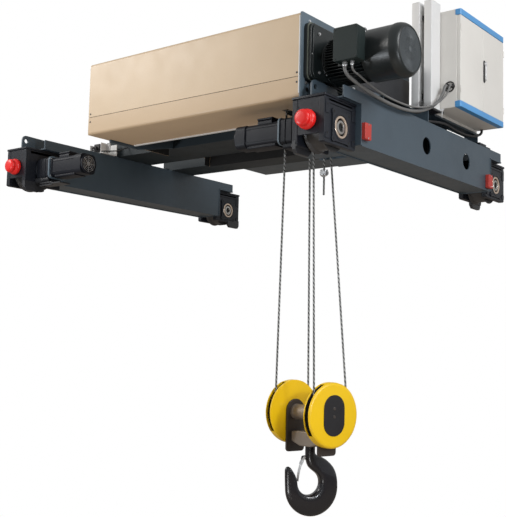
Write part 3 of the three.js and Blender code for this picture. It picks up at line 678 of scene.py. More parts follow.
latch = Shape(HOOK).sweep(latch_points([0.1 + 0.9 * i / 12 for i in range(13)]), latch_strip)
flange = latch_points((0.1, 0.18, 0.28))
outline = circle(PIVOT.y, PIVOT.z, 0.0075, 8, 0.3, PI * 0.9)
outline += [(p.y - 0.0055, p.z) for p in flange]
outline += [(p.y + 0.004, p.z) for p in reversed(flange)]
for side in (-1, 1):
    latch.plate(X, outline, side * 0.0108, side * 0.0128)
latch.bar(X, PIVOT, 0.0038, -0.0148, 0.0148, 16)
latch.done("safety_latch", ZINC, "latch", ["hook_latch"], bevel=0.0004)


# ---------------------------------------------------------------- end beams and girders

RAIL_X, AXLE_Y, AXLE_Z = 1.12, 0.92, 0.1
WALL = 0.008
BEAM_TOP = 0.3056


def beam_web():
    """The web in side view: it steps up over a wheel block at each end."""
    low, shelf, top, half, reach = 0.035, 0.2436, 0.305, 0.776, 0.94
    right_half = [(half - 0.012, low), (half, low + 0.012), (half, shelf), (reach, shelf), (reach, top)]
    return right_half + [(-y, z) for y, z in reversed(right_half)]


def lug_outline(end):
    """A lifting lug with a rounded outer top corner."""
    inner, outer, low, high, radius = 0.772, 1.01, 0.2436, 0.34, 0.03
    arc = circle(outer - radius, high - radius, radius, 8, 0, PI / 2)
    points = [(inner, low), (outer, low)] + arc + [(inner + 0.02, high - 0.004), (inner, high - 0.03)]
    return [(end * y, z) for y, z in points]


front_girder, front_back = corner("cross_girder_front")
rear_girder = corner("cross_girder_rear")[0]
for name, sign in SIDES.items():
    low, high = corner(f"end_beam_{name}")
    outer = high.x if sign > 0 else low.x
    eyes = [(-0.079, 0.166, 0.048), (0.429, 0.166, 0.048)]
    beam = Shape()
    for x0, x1, face in ((low.x, low.x + WALL, low.x), (high.x - WALL, high.x, high.x)):
        beam.plate(X, beam_web(), x0, x1, eyes if face == outer else ())
    beam.box((low.x + 0.001, -0.776, 0.298), (high.x - 0.001, 0.776, BEAM_TOP))
    beam.box((low.x + 0.006, -0.774, 0.04), (high.x - 0.006, 0.774, 0.049))
    for end in ENDS.values():
        beam.box((low.x - 0.004, end * 0.774, 0.2436), (high.x + 0.004, end * 0.94, 0.2516))
        beam.box((low.x - 0.004, end * 0.7752, 0.037), (high.x + 0.004, end * 0.7815, 0.25))
        lug_x = high.x - 0.15
        beam.plate(X, lug_outline(end), lug_x, lug_x + 0.012, [(end * 0.98, 0.305, 0.014)])
    beam.done(f"beam_{name}", BEAM_PAINT, hides=[f"end_beam_{name}"], bevel=0.0016)
    seams = Shape()
    for x in (low.x + 0.004, high.x - 0.004):
        for y in (-0.774, 0.774):
            bead = [Vector((x, y, z)) for z in (0.05, 0.11, 0.17, 0.23)]
            seams.wire(bead, 0.0035, 8)
    for y in (front_girder.y, front_back.y, rear_girder.y):
        bead = [Vector((x, y, 0.3062)) for x in (low.x + 0.004, low.x + 0.07, low.x + 0.13, high.x - 0.004)]
        seams.wire(bead, 0.003, 8)
    seams.done(f"beam_welds_{name}", BEAM_PAINT)

# Grey pads on top of the right beam, behind the cabinet
pads = Shape()
for y0, y1, rise in ((0.64, 0.735, 0.022), (0.745, 0.8, 0.012)):
    pads.box((1.15, y0, BEAM_TOP), (1.235, y1, BEAM_TOP + rise))
pads.done("beam_pads", CAST_PAINT, bevel=0.002)


def hollow_girder(low, high):
    """Four plates welded to a tube; the open ends show their thickness."""
    girder = Shape().box((low.x, low.y, low.z + 0.0005), (high.x, low.y + WALL, high.z - 0.0005))
    girder.box((low.x, high.y - WALL, low.z + 0.0005), (high.x, high.y, high.z - 0.0005))
    girder.box((low.x + 0.001, low.y + 0.001, high.z - WALL), (high.x - 0.001, high.y - 0.001, high.z))
    girder.box((low.x + 0.001, low.y + 0.001, low.z), (high.x - 0.001, high.y - 0.001, low.z + WALL))
    return girder


# Both cross girders take the darkened blue, painted shade for the cover's shadow
low, high = corner("cross_girder_front")
girder = hollow_girder(low, high)
girder.done("girder_front", GIRDER_SHADE_PAINT, hides=["cross_girder_front"], bevel=0.0018)
rear_low, rear_high = corner("cross_girder_rear")
TUBE_BACK, DECK_LEFT, DECK_TOP = 0.47, -0.508, 0.345
girder = hollow_girder(rear_low, Vector((rear_high.x, TUBE_BACK, rear_high.z)))
girder.done("girder_rear", GIRDER_SHADE_PAINT, hides=["cross_girder_rear"], bevel=0.0018)
deck = Shape().box((DECK_LEFT, TUBE_BACK - 0.001, rear_low.z + 0.0006),
                   (rear_high.x, rear_high.y, rear_low.z + WALL))
deck.box((DECK_LEFT, rear_high.y - WALL, rear_low.z), (rear_high.x, rear_high.y, DECK_TOP))
for x in (-0.3, 0.05, 0.4, 0.75):
    deck.box((x, TUBE_BACK - 0.001, rear_low.z + 0.004), (x + 0.006, rear_high.y - 0.004, DECK_TOP - 0.006))
deck.done("girder_deck", BEAM_PAINT, bevel=0.0018)
clamps = Shape()
CLAMP_Z = 0.318
for y in (low.y - 0.018, high.y + 0.018, rear_low.y - 0.018, TUBE_BACK + 0.018):
    for x in (low.x + 0.04, high.x - 0.06):
        clamps.box((x - 0.022, y - 0.016, BEAM_TOP + 0.0009), (x + 0.022, y + 0.016, CLAMP_Z))
        clamps.bolt(Z, (x, y, CLAMP_Z), 9 * MM)
clamps.done("girder_clamps", PLATE_BLACK, bevel=0.001)

low, high = corner("anchor_bracket")
SHELF_BACK, ANCHOR_LEFT, ANCHOR_FRONT, RIB_TOP = -0.62, 0.86, -0.575, 0.062
bracket = Shape()
flange = [(low.y, low.z), (high.y, low.z), (high.y, high.z), (ANCHOR_FRONT, high.z), (low.y + 0.03, 0.12),
          (low.y, 0.11)]
bracket.plate(X, flange, high.x - WALL, high.x)
bracket.box((low.x, low.y, low.z), (high.x - 0.002, SHELF_BACK, low.z + WALL))
for y in (low.y, SHELF_BACK - WALL):
    rib = [(low.z + 0.002, low.x + 0.001), (RIB_TOP, low.x + 0.03), (RIB_TOP, high.x - 0.003),
           (low.z + 0.002, high.x - 0.003)]
    bracket.plate(Y, rib, y + 0.0002, y + WALL - 0.0002)
bracket.box((ANCHOR_LEFT, ANCHOR_FRONT, low.z), (high.x - 0.002, ANCHOR_FRONT + WALL, high.z))
bracket.box((ANCHOR_LEFT, high.y - WALL, low.z), (high.x - 0.002, high.y, high.z))
bracket.box((ANCHOR_LEFT + 0.0005, ANCHOR_FRONT + 0.001, low.z),
            (high.x - 0.002, high.y - 0.001, low.z + WALL))
bracket.done("sheave_bracket", BEAM_PAINT, hides=["anchor_bracket"], bevel=0.002)
bolts = Shape()
for y, z in ((-0.76, 0.085), (-0.6, 0.085), (-0.6, 0.175), (-0.46, 0.08), (-0.46, 0.16)):
    bolts.bolt(-X, (high.x - WALL, y, z), 8 * MM)
bolts.done("bracket_bolts", ZINC)


# ---------------------------------------------------------------- wheel blocks, wheels, buffers

def square_flange(half, ear):
    """A square flange whose corners run out into rounded ears."""
    points = []
    for k in range(4):
        t = PI / 4 + k * PI / 2
        cx, cz = half * math.copysign(1, math.cos(t)), half * math.copysign(1, math.sin(t))
        points += circle(cx, cz, ear, 6, t - PI / 2, PI)
    return points


def wheel_block(name, at, facing, end):
    """facing: the side of the block that shows its hollow shaft; end: the side that carries the buffer."""
    place = Matrix.Translation(at)
    half_x, half_y = 0.094, 0.1375
    body = Shape(place).box((-half_x, -half_y, 0.205), (half_x, half_y, 0.2312))
    for x in (-1, 1):
        body.plate(X, rounded(-half_y, half_y, 0.006, 0.225, 0.012, 4), x * 0.062, x * half_x,
                   [(0, AXLE_Z, 0.042)])
    for y in (-1, 1):
        low_z = 0.052 if y == end else 0.036
        body.box((-0.066, y * (half_y - 0.014), low_z), (0.066, y * half_y, 0.21))
    for y in (-1, 1):
        for x in (-1, 1):
            body.box((x * 0.078 - 0.016, y * 0.12 - 0.0195, 0.01),
                     (x * 0.078 + 0.0162, y * 0.12 + 0.0185, 0.228))
    body.done(f"block_{name}", CAST_PAINT, hides=[f"wheel_block_{name}"], bevel=0.003, segments=3)
    lid = Shape(place).slab(Z, -half_x - 0.0048, half_x + 0.0048, -half_y - 0.0058, half_y + 0.0058, 0.006,
                            3, 0.2312, 0.243)
    lid.done(f"block_lid_{name}", CAST_PAINT, bevel=0.0016)

    trim = Shape(place)
    out = X * facing
    centre = (0, 0, AXLE_Z)
    trim.plate(X, [(y, z + AXLE_Z) for y, z in square_flange(0.066, 0.016)], facing * half_x - 0.002,
               facing * half_x + 0.0075, [(0, AXLE_Z, 0.057)])
    face_out, face_in = Vector(centre) + out * half_x, Vector(centre) - out * half_x
    trim.ring(out, face_out, [(0.066, 0.004), (0.07, 0.0092), (0.06, 0.0092), (0.056, 0.004)], 56)
    for y in (-1, 1):
        for z0, z1 in ((0.026, 0.052), (0.148, 0.214)):
            trim.box((facing * half_x - 0.001, y * 0.117 - 0.016, z0),
                     (facing * (half_x + 0.004), y * 0.117 + 0.016, z1))
    trim.box((facing * half_x, -0.1, 0.2), (facing * (half_x + 0.004), 0.1, 0.212))
    trim.ring(-out, face_in, [(0.052, -0.001), (0.054, 0.005), (0.038, 0.005), (0.038, -0.001)], 48)
    trim.done(f"block_flange_{name}", CAST_PAINT, bevel=0.0012)

    # Painted shade: the bolt recesses and holes are near-black cups and discs for the shade inside them
    recess = [(0, -0.001), (0.0062, -0.001), (0.0068, 0.0006), (0.005, 0.0006), (0.005, -0.0005),
              (0, -0.0005)]
    holes = Shape(place)
    front = Y * end
    for x, z in ((-0.066, 0.192), (0.06, 0.197), (-0.07, 0.07), (0.062, 0.078), (0.02, 0.197)):
        holes.lathe(front, (x, end * half_y, z), recess, 20)
    for y in (-1, 1):
        for z in (-1, 1):
            holes.disc(out, Vector((0, y * 0.066, AXLE_Z + z * 0.066)) + out * (half_x + 0.0075),
                       0.0066, 0.0007, 0.007, 18)
            holes.disc(out, Vector((0, y * 0.118, 0.122 + z * 0.07)) + out * (half_x + 0.004),
                       0.005, 0.0008, 0.0054, 18)
    holes.done(f"block_holes_{name}", SHADE_BLACK)

    race = [(0.0555, -0.014), (0.0555, 0.0055), (0.054, 0.007), (0.045, 0.007), (0.043, 0.0035),
            (0.043, -0.014)]
    bearing = Shape(place).ring(out, face_out, race, 56)
    bearing.done(f"bearing_{name}", BEARING)

    flank = [(0.0205, -0.092), (0.033, -0.092), (0.0335, -0.058), (0.048, -0.054), (0.054, -0.03),
             (0.086, -0.028), (0.09, -0.05), (0.1125, -0.0495), (0.114, -0.048), (0.1135, -0.044),
             (0.101, -0.0345)]
    wheel = Shape(place).ring(X, centre, mirrored(flank), 72)
    wheel.done(f"running_wheel_{name}", WORN_STEEL, f"wheel_{name}", [f"wheel_{name}"])
    hub = [(0.021, 0.0915), (0.035, 0.0915), (0.0355, 0.094), (0.033, 0.0985), (0.023, 0.0995),
           (0.021, 0.097)]
    shaft = Shape(place)
    for side in (-1, 1):
        shaft.ring(X * side, centre, hub, 48)
        for radial, _ in around(16):
            shaft.bar(X * side, Vector(centre) + radial * 0.0195, 0.0017, 0.085, 0.0935, 8)
    shaft.done(f"wheel_hub_{name}", BARE_STEEL, f"wheel_{name}")
    # Painted shade: a black disc in the wheel's bore for the shade inside it
    core = Shape(place)
    for side in (-1, 1):
        core.bar(X * side, centre, 0.0205, 0.0885, 0.0896, 32)
    core.done(f"wheel_bore_{name}", SHADE_BLACK, f"wheel_{name}")

    guard = Shape(place)
    inner = 1 if at[0] < 0 else -1
    near, far = (0.076, 0.096) if inner > 0 else (-0.09, -0.07)
    outline = [(0.006, 0.03), (0.006, -0.01), (0.03, -0.032), (0.128, -0.032), (0.142, -0.012),
               (0.142, 0.03)]
    guard.plate(X, [(end * y, z) for y, z in outline], near, far)
    guard.box((inner * 0.064, end * 0.02, 0.0), (inner * 0.0965, end * 0.141, 0.012))
    guard.done(f"rail_guard_{name}", PLATE_BLACK, bevel=0.0015)

    bellows = [(0, 0), (0.044, 0), (0.048, 0.003), (0.05, 0.01), (0.049, 0.022), (0.044, 0.03),
               (0.0385, 0.0335), (0.037, 0.036), (0.0385, 0.039), (0.0415, 0.043), (0.042, 0.05),
               (0.0395, 0.058), (0.033, 0.0635), (0.022, 0.0655), (0, 0.066)]
    bump = Shape(place).lathe(front, (0, end * (half_y + 0.0004), 0.122), bellows, 64)
    bump.done(f"bumper_{name}", RED_RUBBER, hides=[f"buffer_{name}"], angle=60)


for end_name, end in ENDS.items():
    for side_name, side in SIDES.items():
        facing = -1 if side < 0 and end < 0 else 1
        wheel_block(f"{end_name}_{side_name}", (side * RAIL_X, end * AXLE_Y, 0), facing, end)

for end_name in ENDS:
    low, high = corner(f"stop_block_{end_name}")
    stop = Shape().slab(X, low.y, high.y, low.z, high.z, 0.006, 4, low.x, high.x)
    stop.done(f"rail_stop_{end_name}", STOP_RED, hides=[f"stop_block_{end_name}"], bevel=0.003, segments=3)
    slots = Shape()
    for z in (low.z + 0.008, high.z - 0.008):
        slots.screw(X, (high.x - 0.0006, (low.y + high.y) / 2, z), 3.5 * MM)
    slots.done(f"rail_stop_screws_{end_name}", ZINC)


# ---------------------------------------------------------------- travel gearmotors

BLADE_FACES = [(0, 1, 3, 2), (4, 6, 7, 5), (0, 4, 5, 1), (2, 3, 7, 6), (0, 2, 6, 4), (1, 5, 7, 3)]
TRAVEL_Z = 0.112

for name, side in SIDES.items():
    out = X * side
    place = Matrix.Translation((0, -AXLE_Y, TRAVEL_Z))
    gear = Shape(place)
    face, ring, tail = 1.0257, 0.885, 0.593
    gear.lathe(out, out * face, [(0, 0), (0.066, 0), (0.066, -0.014), (0.058, -0.018), (0.058, -0.03),
                                 (0, -0.03)], 56)
    gear.slab(X, -0.064, 0.064, -0.066, 0.064, 0.018, 5, side * (ring + 0.01), side * (face - 0.022))
    gear.slab(X, -0.05, 0.048, -0.091, -0.03, 0.014, 5, side * (ring + 0.02), side * (face - 0.04))
    for x in (0.925, 0.965):
        gear.slab(X, -0.067, 0.067, -0.069, 0.067, 0.02, 5, side * x, side * (x + 0.006))
    gear.done(f"travel_gearcase_{name}", TRAVEL_PAINT, hides=[f"travel_gear_{name}"], bevel=0.0025,
              segments=3)
    # Painted light: the collar takes the lighter blue for the light along its edge
    collar = Shape(place).slab(X, -0.07, 0.07, -0.07, 0.07, 0.026, 6, side * ring, side * (ring + 0.01))
    collar.done(f"travel_flange_{name}", LIT_PLATE_PAINT, slot="cast_grey_paint", bevel=0.0012)
    bolts = Shape(place)
    for u in (-0.054, 0.054):
        for v in (-0.054, 0.054):
            bolts.bolt(-out, out * ring + Vector((0, u, v)), 4.5 * MM)
            bolts.bolt(-out, out * (face - 0.03) + Vector((0, u * 0.92, v * 0.92)), 4 * MM)
    bolts.done(f"travel_bolts_{name}", ZINC)
    motor = Shape(place)
    back, front = side * (tail + 0.072), side * (ring - 0.0005)
    motor.slab(X, -0.0555, 0.0555, -0.056, 0.056, 0.022, 6, back, front)
    for offset in (-0.034, 0.034):
        motor.box((back, -0.0578, offset - 0.0015), (front, 0.0578, offset + 0.0015))
        motor.box((back, offset - 0.0015, -0.0584), (front, offset + 0.0015, 0.0584))
    motor.slab(X, -0.0612, 0.0612, -0.0612, 0.0612, 0.028, 7, side * (tail + 0.012), side * (tail + 0.074))
    mouth = [(0.05, -0.0125), (0.059, -0.0125), (0.059, -0.003), (0.0575, 0), (0.052, 0), (0.0505, -0.006)]
    motor.ring(-out, out * tail, mouth, 56)
    motor.slab(X, -0.06, 0.06, -0.06, 0.06, 0.024, 6, side * (ring - 0.014), side * (ring - 0.0006))
    motor.slab(X, -0.04, 0.04, 0.045, 0.076, 0.008, 4, side * (ring - 0.15), side * (ring - 0.06))
    motor.slab(X, -0.0415, 0.0415, 0.0765, 0.088, 0.005, 4, side * (ring - 0.152), side * (ring - 0.058))
    motor.slab(X, -0.046, 0.046, -0.0665, -0.05, 0.005, 3, side * (tail + 0.08), side * (ring - 0.03))
    motor.done(f"travel_motor_shell_{name}", TRAVEL_PAINT, hides=[f"travel_motor_{name}"], bevel=0.0008)
    stud = [(0, -0.001), (0.0055, -0.001), (0.0055, 0.0025), (0, 0.0035)]
    studs = Shape(place)
    for v in (0.03, -0.02):
        studs.lathe(-Y, (side * (tail + 0.042), -0.0535, v), stud, 18)
    for u in (-0.028, 0.028):
        studs.screw(Z, (side * (ring - 0.105 + 1.3 * u), 0.034, 0.088), 2.5 * MM)
    studs.done(f"travel_screws_{name}", ZINC)
    grille = Shape(place)
    for radius in (0.012, 0.024, 0.036, 0.047):
        grille.tube(-out, out * tail, radius - 0.0013, radius + 0.0013, -0.0055, -0.003, 40)
    for radial, _ in around(8):
        grille.wire([out * (tail + 0.0046) + radial * r for r in (0.004, 0.028, 0.0515)], 0.0013, 6)
    grille.bar(-out, out * tail, 0.01, -0.006, -0.0025, 24)
    grille.done(f"travel_grille_{name}", ZINC)
    fan = Shape(place).bar(-out, out * tail, 0.014, -0.04, -0.01, 24)
    for radial, wide in around(6):
        blade = []
        for r, lean in ((0.01, 0.01), (0.047, 0.014)):
            for x, skew in ((tail + 0.012, -lean), (tail + 0.036, lean)):
                blade += [out * x + radial * r + wide * (skew + half) for half in (0.0012, -0.0012)]
        fan.add(blade, BLADE_FACES)
    fan.done(f"travel_fan_wheel_{name}", BLACK_SHEATH, f"travel_fan_{name}", [f"travel_fan_{name}"])

release = [(0, -1.024), (0.017, -1.024), (0.0185, -1.022), (0.0185, -0.96), (0.015, -0.957),
           (0.015, -0.905), (0, -0.905)]
extras = Shape().lathe(X, (0, -0.966, 0.04), release, 36)
extras.box((-0.975, -0.985, 0.004), (-0.782, -0.9, 0.012))
extras.box((-0.975, -0.985, -0.004), (-0.86, -0.976, 0.02))
extras.done("brake_release", PLATE_BLACK, bevel=0.0015)


# ---------------------------------------------------------------- drum, cover and its plates

hood_low, hood_high = corner("cover_hood")
skirt_low, skirt_high = corner("cover_skirt")
SKIN = 0.0025


def bent_sheet(name, path, x0, x1, finish, hides, notch=()):
    """A folded sheet with an even thickness, run along X; path is its section as (y, z) points."""
    outline = []
    count = len(path)
    for sign in (1, -1):
        for i in range(count)[::sign]:
            here = Vector(path[i])
            before, after = Vector(path[max(i - 1, 0)]), Vector(path[min(i + 1, count - 1)])
            along = (after - before).normalized()
            normal = Vector((along.y, -along.x))
            outline.append(tuple(here + normal * (0.0 if sign > 0 else SKIN)))
    sheet = Shape().plate(X, outline, x0, x1)
    piece = sheet.done(name, finish, hides=hides, angle=25)
    for low, high in notch:
        carve(piece, Shape().box(low, high))
    return piece


def arc(y, z, radius, start, end):
    """Points of a fold, angles in degrees."""
    return circle(y, z, radius, 8, math.radians(start), math.radians(end - start))


FOLD = 0.022
way_low, way_high = corner("cross_girder_front")
girder_way = ((hood_low.x - 0.02, way_low.y - 0.008, way_low.z - 0.008),
              (hood_high.x + 0.02, way_high.y + 0.008, way_high.z + 0.008))
top_path = [(hood_low.y, hood_low.z + 0.001), (hood_low.y, hood_high.z - FOLD)]
top_path += arc(hood_low.y + FOLD, hood_high.z - FOLD, FOLD, 180, 90)
top_path += arc(hood_high.y - FOLD, hood_high.z - FOLD, FOLD, 90, 0)
top_path += [(hood_high.y, hood_low.z + 0.001)]
bent_sheet("hood", top_path, hood_low.x, hood_high.x, HOOD_PAINT, ["cover_hood"], [girder_way])

LIP_END = skirt_low.y + 0.359
lower_path = [(LIP_END - 0.008, skirt_low.z + 0.011), (LIP_END, skirt_low.z + 0.008),
              (LIP_END, skirt_low.z + 0.0005)]
lower_path += arc(skirt_low.y + 0.016, skirt_low.z + 0.016, 0.016, -90, -180)
lower_path += [(skirt_low.y, skirt_high.z - 0.0015)]
lip_ways = [((0.812, -0.858, skirt_low.z - 0.01), (0.852, -0.6, skirt_low.z + 0.03)),
            ((0.785, -0.8, skirt_low.z - 0.01), (skirt_high.x + 0.01, -0.6, skirt_low.z + 0.03)),
            ((skirt_low.x + 0.0035, -0.866, skirt_low.z - 0.01), (-0.465, -0.6, skirt_low.z + 0.03))]
# The front skirt takes the darkened hood paint, painted shade for its underside
bent_sheet("skirt_front", lower_path, skirt_low.x, skirt_high.x, SKIRT_SHADE_PAINT, ["cover_skirt"], lip_ways)
bent_sheet("skirt_rear", [(skirt_high.y, skirt_high.z - 0.0015), (skirt_high.y, skirt_low.z)],
           skirt_low.x, skirt_high.x, HOOD_PAINT, [], [girder_way])


def arched(y0, y1, z0, z1, radius, sides):
    """An upright sheet with square feet and two round top corners."""
    right_corner = circle(y1 - radius, z1 - radius, radius, sides, 0, PI / 2)
    left_corner = circle(y0 + radius, z1 - radius, radius, sides, PI / 2, PI / 2)
    return [(y0, z0), (y1, z0)] + right_corner + left_corner


ends = Shape()
for z0, z1, radius in ((hood_low.z + 0.001, hood_high.z - 0.0005, FOLD),
                       (skirt_low.z, skirt_high.z - 0.0015, 0.001)):
    ends.plate(X, arched(hood_low.y + 0.0005, hood_high.y - 0.0005, z0, z1, radius, 6),
               hood_low.x + 0.0002, hood_low.x + 0.003)
ends = ends.done("cover_end", HOOD_PAINT, angle=25)
carve(ends, Shape().box(*girder_way))
carve(ends, Shape().box((hood_low.x - 0.02, way_low.y - 0.02, skirt_low.z - 0.01),
                        (hood_low.x + 0.02, hood_high.y + 0.01, way_low.z)))

# Painted shade: a black sheet that fills the gap between the cover and what stands inside it, for the shade
# in there
hood_shade = Shape()
inner = [(hood_low.y + 0.0035, skirt_high.z + 0.004), (hood_low.y + 0.0035, hood_high.z - 0.03),
         (hood_low.y + 0.03, hood_high.z - 0.0045), (hood_high.y - 0.03, hood_high.z - 0.0045),
         (hood_high.y - 0.0035, hood_high.z - 0.03), (hood_high.y - 0.0035, skirt_low.z - 0.0006)]
outer = [(hood_high.y - 0.0004, skirt_low.z - 0.0006), (hood_high.y - 0.0024, skirt_low.z + 0.002),
         (hood_high.y - 0.0026, hood_high.z - 0.029), (hood_high.y - 0.029, hood_high.z - 0.003),
         (hood_low.y + 0.029, hood_high.z - 0.003), (hood_low.y + 0.0028, hood_high.z - 0.029),
         (hood_low.y + 0.0028, skirt_high.z + 0.004)]
hood_shade.plate(X, inner + outer, hood_low.x + 0.006, hood_high.x - 0.0005)
end_arch = [(hood_low.y + 0.0045, skirt_high.z), (hood_high.y - 0.0045, skirt_high.z),
            (hood_high.y - 0.0045, hood_high.z - 0.035), (hood_high.y - 0.035, hood_high.z - 0.0055),
            (hood_low.y + 0.035, hood_high.z - 0.0055), (hood_low.y + 0.0045, hood_high.z - 0.035)]
hood_shade.plate(X, end_arch, hood_low.x + 0.0034, hood_low.x + 0.005)
hood_shade.box((hood_low.x + 0.0034, way_high.y + 0.012, skirt_low.z),
           (hood_low.x + 0.005, hood_high.y - 0.0045, skirt_high.z - 0.001))
hood_shade.box((hood_low.x + 0.0034, LIP_END + 0.002, skirt_low.z),
           (hood_low.x + 0.005, way_low.y - 0.021, skirt_high.z - 0.001))
hood_shade = hood_shade.done("hood_inner_shade", SHADE_BLACK)
carve(hood_shade, Shape().box(*girder_way))

domed = [(0, -0.001), (0.0048, -0.001), (0.0052, 0.0012), (0.0035, 0.003), (0, 0.0034)]
fixings = Shape()
for x in (hood_low.x + 0.016, hood_high.x - 0.014):
    for z in (skirt_high.z + 0.02, skirt_high.z - 0.028):
        fixings.lathe(-Y, (x, skirt_low.y, z), domed, 18)
fixings.done("cover_screws", PLATE_BLACK)
# Painted highlight: the hems along the lip's end and the hood's right front edge are white, for the light
# catching those edges
trim = Shape().box((skirt_low.x + 0.036, LIP_END - 0.015, skirt_low.z - 0.004),
                   (0.783, LIP_END + 0.0012, skirt_low.z + 0.0015))
trim.box((hood_high.x - 0.0045, hood_low.y - 0.0008, skirt_low.z + 0.02),
         (hood_high.x + 0.0002, hood_low.y + 0.002, hood_high.z - 0.02))
trim.done("cover_hem_highlights", WHITE_PAINT, slot="champagne_paint", bevel=0.0004)

# The plate between cover and gearbox, with its cable holes and black patches of painted shade on its face
low, high = corner("drive_end_plate")
# Painted light: the plate takes the lighter blue for the light on its face
end_plate = Shape().plate(X, arched(low.y, high.y, low.z, high.z, 0.01, 4), low.x, high.x,
                          [(DRUM_Y, DRUM_Z, 0.036)])
end_plate = end_plate.done("end_plate", LIT_PLATE_PAINT, hides=["drive_end_plate"], bevel=0.0012)
carve(end_plate, Shape().box(*girder_way))
plate_face = high.x
# Painted shade: the cable holes are black discs for the shade inside them
dots = Shape()
for y, z in ((-0.966, 0.304), (-0.898, 0.329)):
    dots.disc(X, (plate_face, y, z), 0.011, 0.0009, 0.0115, 24)
dots.done("plate_holes", SHADE_BLACK)
# Painted shade: black patches on the plate's face for the shade falling on it
plate_shade = Shape().slab(X, -0.52, 0.078, 0.445, 0.6, 0.006, 3, plate_face, plate_face + 0.002)
plate_shade.slab(X, -0.52, 0.078, 0.262, 0.29, 0.006, 3, plate_face, plate_face + 0.002)
plate_shade.slab(X, -0.52, -0.322, 0.285, 0.45, 0.006, 3, plate_face, plate_face + 0.002)
plate_shade.done("end_plate_shade_patches", PLATE_BLACK, bevel=0.0006)

outline = [(-0.86, 0.2405), (-0.62, 0.2405), (-0.3105, 0.306), (-0.3105, 0.424), (-0.56, 0.56),
           (-0.64, 0.62), (-0.74, 0.62), (-0.79, 0.56), (-0.86, 0.33)]
carrier = Shape().plate(X, outline, -0.488, -0.474, [(DRUM_Y, DRUM_Z, 0.04)])
boss = [(0.06, -0.475), (0.104, -0.475), (0.104, -0.422), (0.1, -0.42), (0.06, -0.42)]
carrier.ring(X, (0, DRUM_Y, DRUM_Z), boss, 64)
carrier.done("drum_carrier", BEAM_PAINT, hides=["drum_bearing_plate"], bevel=0.002)

# Limit switch, studs and lead in front of the girder, on top of the left beam
switch = Shape()
for near, far in (((-1.11, -0.47, 0.3062), (-0.975, -0.34, 0.311)),
                  ((-1.0, -0.47, 0.31), (-0.9955, -0.4, 0.38)),
                  ((-1.11, -0.3455, 0.31), (-0.975, -0.34, 0.385)),
                  ((-1.106, -0.47, 0.31), (-1.1015, -0.44, 0.37))):
    switch.box(near, far)
switch.done("switch_bracket", WHITE_PAINT, bevel=0.0012)
switch = Shape().box((-1.092, -0.446, 0.33), (-1.04, -0.402, 0.38))
switch.bar(X, (0, -0.424, 0.346), 0.015, -1.04, -1.012, 28)
switch.bar(-Y, (-1.066, 0, 0.35), 0.014, 0.446, 0.466, 28)
switch.done("limit_switch", BLACK_SHEATH, bevel=0.002)
switch = Shape()
for k in range(3):
    switch.bar(Z, (-0.986 + 0.012 * k, -0.42, 0), 0.004, 0.311, 0.382, 16)
    switch.bolt(Z, (-0.986 + 0.012 * k, -0.42, 0.356), 4.2 * MM)
switch.done("switch_studs", ZINC)
lead("lead_limit", [(-1066, -466, 350), (-1066, -480, 346), (-1060, -492, 330), (-1030, -480, 322),
                    (-970, -440, 322), (-915, -380, 330), (-900, -340, 350), (-896, -316, 360)], 4 * MM,
     BLACK_SHEATH, [], 60)

# The drum: a shaft, two flanges and a machined barrel that shows between the turns
drum = Shape()
BARREL_R, TURN_PITCH = 0.1395, 0.0125
profile = [(0, 1.0555), (0.0295, 1.0555), (0.03, 1.054), (0.03, 0.8455), (0.15, 0.8455), (0.154, 0.843),
           (0.154, 0.84), (0.147, 0.8385), (BARREL_R, 0.838), (BARREL_R, -0.444), (0.147, -0.445),
           (0.154, -0.4465), (0.154, -0.4535), (0.15, -0.4549), (0.108, -0.4549), (0.108, 0.815),
           (0, 0.815)]
drum.lathe(X, (0, DRUM_Y, DRUM_Z), profile, 96)
drum.done("winding_drum", WORN_STEEL, "drum", ["rope_drum"])
TURNS, PER_TURN, FIRST_X = 96, 36, -0.389
one_turn = circle(DRUM_Y, DRUM_Z, DRUM_PITCH, PER_TURN, PI, -2 * PI)
coil = [Vector((FIRST_X + TURN_PITCH * i / PER_TURN, *one_turn[i % PER_TURN]))
        for i in range(TURNS * PER_TURN)]
wound = Shape().wire(coil, ROPE_R, 6)
wound.done("wound_rope", ROPE, "drum", ["rope_coil"], angle=70)


# ---------------------------------------------------------------- gearbox and hoist motor

def chord(radius, offset):
    """Half the width of a circle at a distance from its middle."""
    return math.sqrt(max(0.0, radius ** 2 - offset ** 2))


MOTOR_Y, MOTOR_Z = -0.8, 0.467
PINION_Y, PINION_Z = -0.64, 0.455
low, high = corner("gearbox_case")
case = Shape().slab(X, -1.0, -0.56, 0.345, 0.64, 0.03, 6, low.x, low.x + 0.02)
case.slab(X, -0.994, -0.566, 0.351, 0.634, 0.028, 6, low.x + 0.019, low.x + 0.04)
case.slab(X, -0.986, -0.574, 0.358, 0.627, 0.03, 6, low.x + 0.039, low.x + 0.0478)
spigot, reach = low.x + 0.046, high.x - low.x - 0.046
flange = [(0, 0), (0.112, 0), (0.112, 0.006), (0.104, 0.01), (0.104, reach), (0, reach)]
case.lathe(X, (spigot, MOTOR_Y, MOTOR_Z), flange, 64)
cap = [(0, 0), (0.052, 0), (0.05, 0.01), (0.03, 0.012), (0.028, 0.014), (0, 0.014)]
case.lathe(X, (spigot, PINION_Y, PINION_Z), cap, 48)
case.done("gear_case", MOTOR_PAINT, hides=["gearbox_case"], bevel=0.003, segments=3)
